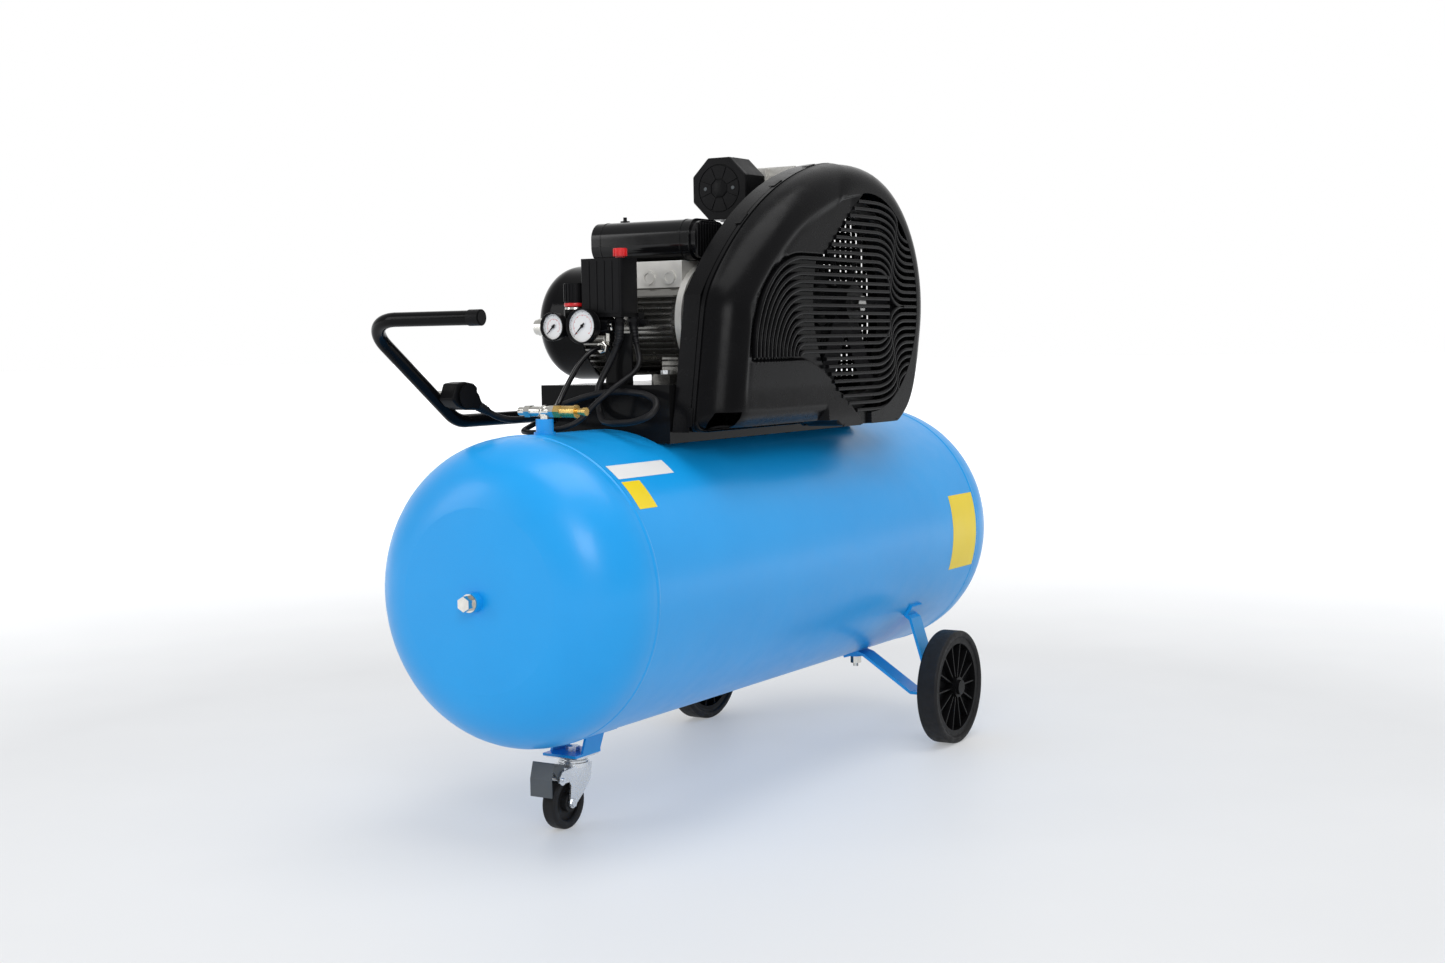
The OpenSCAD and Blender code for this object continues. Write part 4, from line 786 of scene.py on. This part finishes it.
def filter_face():
    """Filter cover with its two screws: a rimmed octagon, a ring groove, eight segments and a hub."""
    angles = []
    for s in range(8):
        middle = math.radians(22.5 + 45 * s)
        angles += [middle + d for d in (-0.032, -0.022, 0.022, 0.032)]
        angles += [middle + math.radians(45) * k / 6 for k in range(1, 6)]
    points, faces = [], []
    for j, a in enumerate(angles):
        hub = octagon_reach(a, 14)
        edge = octagon_reach(a, FILTER_R)
        cut = 1.3 if j % 9 in (1, 2) else 0.0
        row = [(0.6, 0), (hub - 1, 0), (hub, 0.5), (hub + 0.4, 1.4), (hub + 1.2, 1.4), (hub + 1.8, cut),
               (37, cut), (37.6, 1.4), (38.6, 1.4), (39.2, 0), (edge - 1.2, 0), (edge, 1.2), (edge, 11.6),
               (edge - 4, 12)]
        for r, h in row:
            points.append(at(FILTER_X + h, FILTER_Y + r * math.cos(a), FILTER_Z + r * math.sin(a)))
    rings = len(row)
    for j in range(len(angles)):
        n = (j + 1) % len(angles)
        for k in range(rings - 1):
            faces.append((j * rings + k, n * rings + k, n * rings + k + 1, j * rings + k + 1))
    faces.append(tuple(j * rings for j in range(len(angles))))
    faces.append(tuple(j * rings + rings - 1 for j in reversed(range(len(angles)))))
    cover = piece("filter_lid", points, faces, "satin_plastic", smooth=30)
    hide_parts("filter_cover")
    head = [(0, -0.6), (1.2, -0.7), (1.4, -1.1), (2.6, -0.9), (3.2, 0), (3.2, 1), (0, 1)]
    screws = [lathe(head, at(FILTER_X, FILTER_Y + 26 * s, FILTER_Z), (1, 0, 0), 24) for s in (-1, 1)]
    piece("filter_screws", *merged(screws), "pedal_grey", slot="zinc")


def box_outline(x0, x1, z0, z1, r, steps=8):
    """Rounded rectangle in (x, z)."""
    left, right, low, high = x0 + r, x1 - r, z0 + r, z1 - r
    points = []
    for cx, cz, first in ((right, high, 0), (left, high, 90), (left, low, 180), (right, low, 270)):
        for k in range(steps + 1):
            a = math.radians(first + 90 * k / steps)
            points.append((cx + r * math.cos(a), cz + r * math.sin(a)))
    return points


def capacitor_trim():
    """Cap lips and parting lines of the capacitor box, and its ribbed end towards the guard."""
    lip = box_outline(-236.8, -137.2, 843.6, 908.8, 26)
    lips = [prism_y(lip, a, b) for a, b in ((-74, -72), (-90.5, -88.5))]
    lips.append(prism_y(box_outline(-236.6, -137.4, 843.8, 908.6, 26), 74, 76))
    lips.append(prism_y(box_outline(-233, -141, 847, 905, 23), -100, -88))
    for k in range(12):
        x = -230 + 8 * k
        lips.append(prism_y([(x, 852), (x + 3, 852), (x + 3, 901), (x, 901)], -103, -99))
    bevelled(piece("capacitor_lips", *merged(lips), "gloss_black"), 0.5)


# ---------- stickers ----------

def sticker(name, x0, x1, z0, z1, material):
    """Plain sticker on the receiver's -Y side between two heights, 0.25 mm off its curve."""
    steps = 12
    r = TANK_R + 0.25
    points, faces = [], []
    for k in range(steps + 1):
        z = z0 + (z1 - z0) * k / steps
        y = -math.sqrt(r * r - (z - TANK_Z) ** 2)
        points += [at(x0, y, z), at(x1, y, z)]
    for k in range(steps):
        faces.append((2 * k, 2 * k + 1, 2 * k + 3, 2 * k + 2))
    piece(name, points, faces, material, slot="dial_white")


# ---------- camera, floor and light ----------

def camera():
    """Camera fitted to the photograph's view."""
    place = Vector((-2.7207, -1.6604, 0.7173))
    yaw, pitch, roll = math.radians(58.838), math.radians(-4.166), math.radians(-0.938)
    ahead = Vector((math.cos(pitch) * math.sin(yaw), math.cos(pitch) * math.cos(yaw), math.sin(pitch)))
    flat = Vector((math.cos(yaw), -math.sin(yaw), 0))
    upright = flat.cross(ahead)
    right = flat * math.cos(roll) + upright * math.sin(roll)
    up = upright * math.cos(roll) - flat * math.sin(roll)
    data = bpy.data.cameras.new("camera")
    data.lens = 47.7
    data.sensor_width = 36
    obj = bpy.data.objects.new("camera", data)
    obj.matrix_world = Matrix.Translation(place) @ Matrix((right, up, -ahead)).transposed().to_4x4()
    bpy.context.scene.collection.objects.link(obj)
    bpy.context.scene.camera = obj


def lamp(name, place, target, size, power):
    """White rectangular lamp at a place, turned towards a target, in metres and watts."""
    data = bpy.data.lights.new(name, "AREA")
    data.shape = "RECTANGLE"
    data.size, data.size_y = size
    data.energy = power
    obj = bpy.data.objects.new(name, data)
    obj.location = place
    obj.rotation_euler = (Vector(target) - Vector(place)).to_track_quat("-Z", "Y").to_euler()
    bpy.context.scene.collection.objects.link(obj)


def floor_paint():
    """Pale floor that brightens far away, so that it meets the backdrop without a line."""
    g = Graph("floor_sweep")
    g.set(Specular_IOR_Level=0.2)
    patches = g.spread(g.noise(0.8, 2.0), 0, 1)
    g.join("Base Color", g.mix(patches, (0.47, 0.475, 0.485), (0.49, 0.495, 0.505)))
    g.join("Roughness", g.spread(g.noise(3.0, 2.0), 0.5, 0.6))
    far = g.nodes.new("ShaderNodeVectorMath")
    far.operation = "LENGTH"
    g.links.new(g.place, far.inputs[0])
    g.set(Emission_Color=(0.97, 0.985, 1, 1))
    g.join("Emission Strength", g.spread(far.outputs["Value"], 0.31, 0.95, 1.3, 4.5))
    return g.material


def backdrop():
    """World that is white behind the object, as the camera sees it, and fades to grey at the sides."""
    world = bpy.data.worlds.new("studio")
    world.use_nodes = True
    nodes, links = world.node_tree.nodes, world.node_tree.links
    place = nodes.new("ShaderNodeTexCoord")
    facing = nodes.new("ShaderNodeVectorMath")
    facing.operation = "DOT_PRODUCT"
    facing.inputs[1].default_value = (0.853, 0.517, -0.073)
    links.new(place.outputs["Generated"], facing.inputs[0])
    level = nodes.new("ShaderNodeMapRange")
    level.inputs["From Min"].default_value = 0.45
    level.inputs["From Max"].default_value = 0.8
    level.inputs["To Min"].default_value = 0.55
    level.inputs["To Max"].default_value = 1.0
    links.new(facing.outputs["Value"], level.inputs["Value"])
    background = nodes["Background"]
    background.inputs["Color"].default_value = (1.0, 1.0, 1.0, 1)
    links.new(level.outputs["Result"], background.inputs["Strength"])
    return world


def studio():
    """Floor, backdrop and three softboxes."""
    mesh = bpy.data.meshes.new("floor")
    half = 60
    corners = [(-half, -half, 0), (half, -half, 0), (half, half, 0), (-half, half, 0)]
    mesh.from_pydata(corners, [], [(0, 1, 2, 3)])
    floor = bpy.data.objects.new("floor", mesh)
    bpy.context.scene.collection.objects.link(floor)
    floor.data.materials.append(floor_paint())
    bpy.context.scene.world = backdrop()
    bpy.context.scene.view_settings.view_transform = "Standard"
    lamp("top_softbox", (-0.2, -0.6, 3.4), (0, 0, 0.4), (3.0, 1.6), 44)
    lamp("front_softbox", (-3.6, -2.6, 2.6), (-0.3, 0, 0.5), (1.8, 1.4), 58)
    lamp("side_softbox", (-2.8, 2.4, 1.7), (-0.4, 0, 0.6), (0.9, 1.8), 18)


# ---------- the model ----------

camera()
mains_start = [(-326, -20, 744.5), (-326, -19, 726), (-327, -15, 715)]
motor_start = [(-300, -28, 744.5), (-300, -30, 726), (-302, -34, 716)]
mains_relief = relief("mains_gland_sleeve", mains_start, (7.4, 5.5))
motor_relief = relief("motor_gland_sleeve", motor_start, (7.0, 4.5))
plug = plug_body()
line("mains_lead", MAINS_ROUTE, 10, "cable_rubber", "mains_cord")
line("motor_lead", MOTOR_ROUTE, 8, "cable_rubber", "motor_cable")
line("pressure_line", TUBE_ROUTE, 8, "gloss_black", "pressure_tube")
guard_shell()
grille()
guard_clips()
rear_shade_louvres()
gauges()
regulator_rings()
tube_fittings()
filter_face()
capacitor_trim()
sticker("label_strip", -532, -388, 528, 546, "label_white")
sticker("label_small", -532, -487, 487, 524, "label_yellow")
sticker("label_large", 438, 540, 296, 431, "label_yellow")
studio()
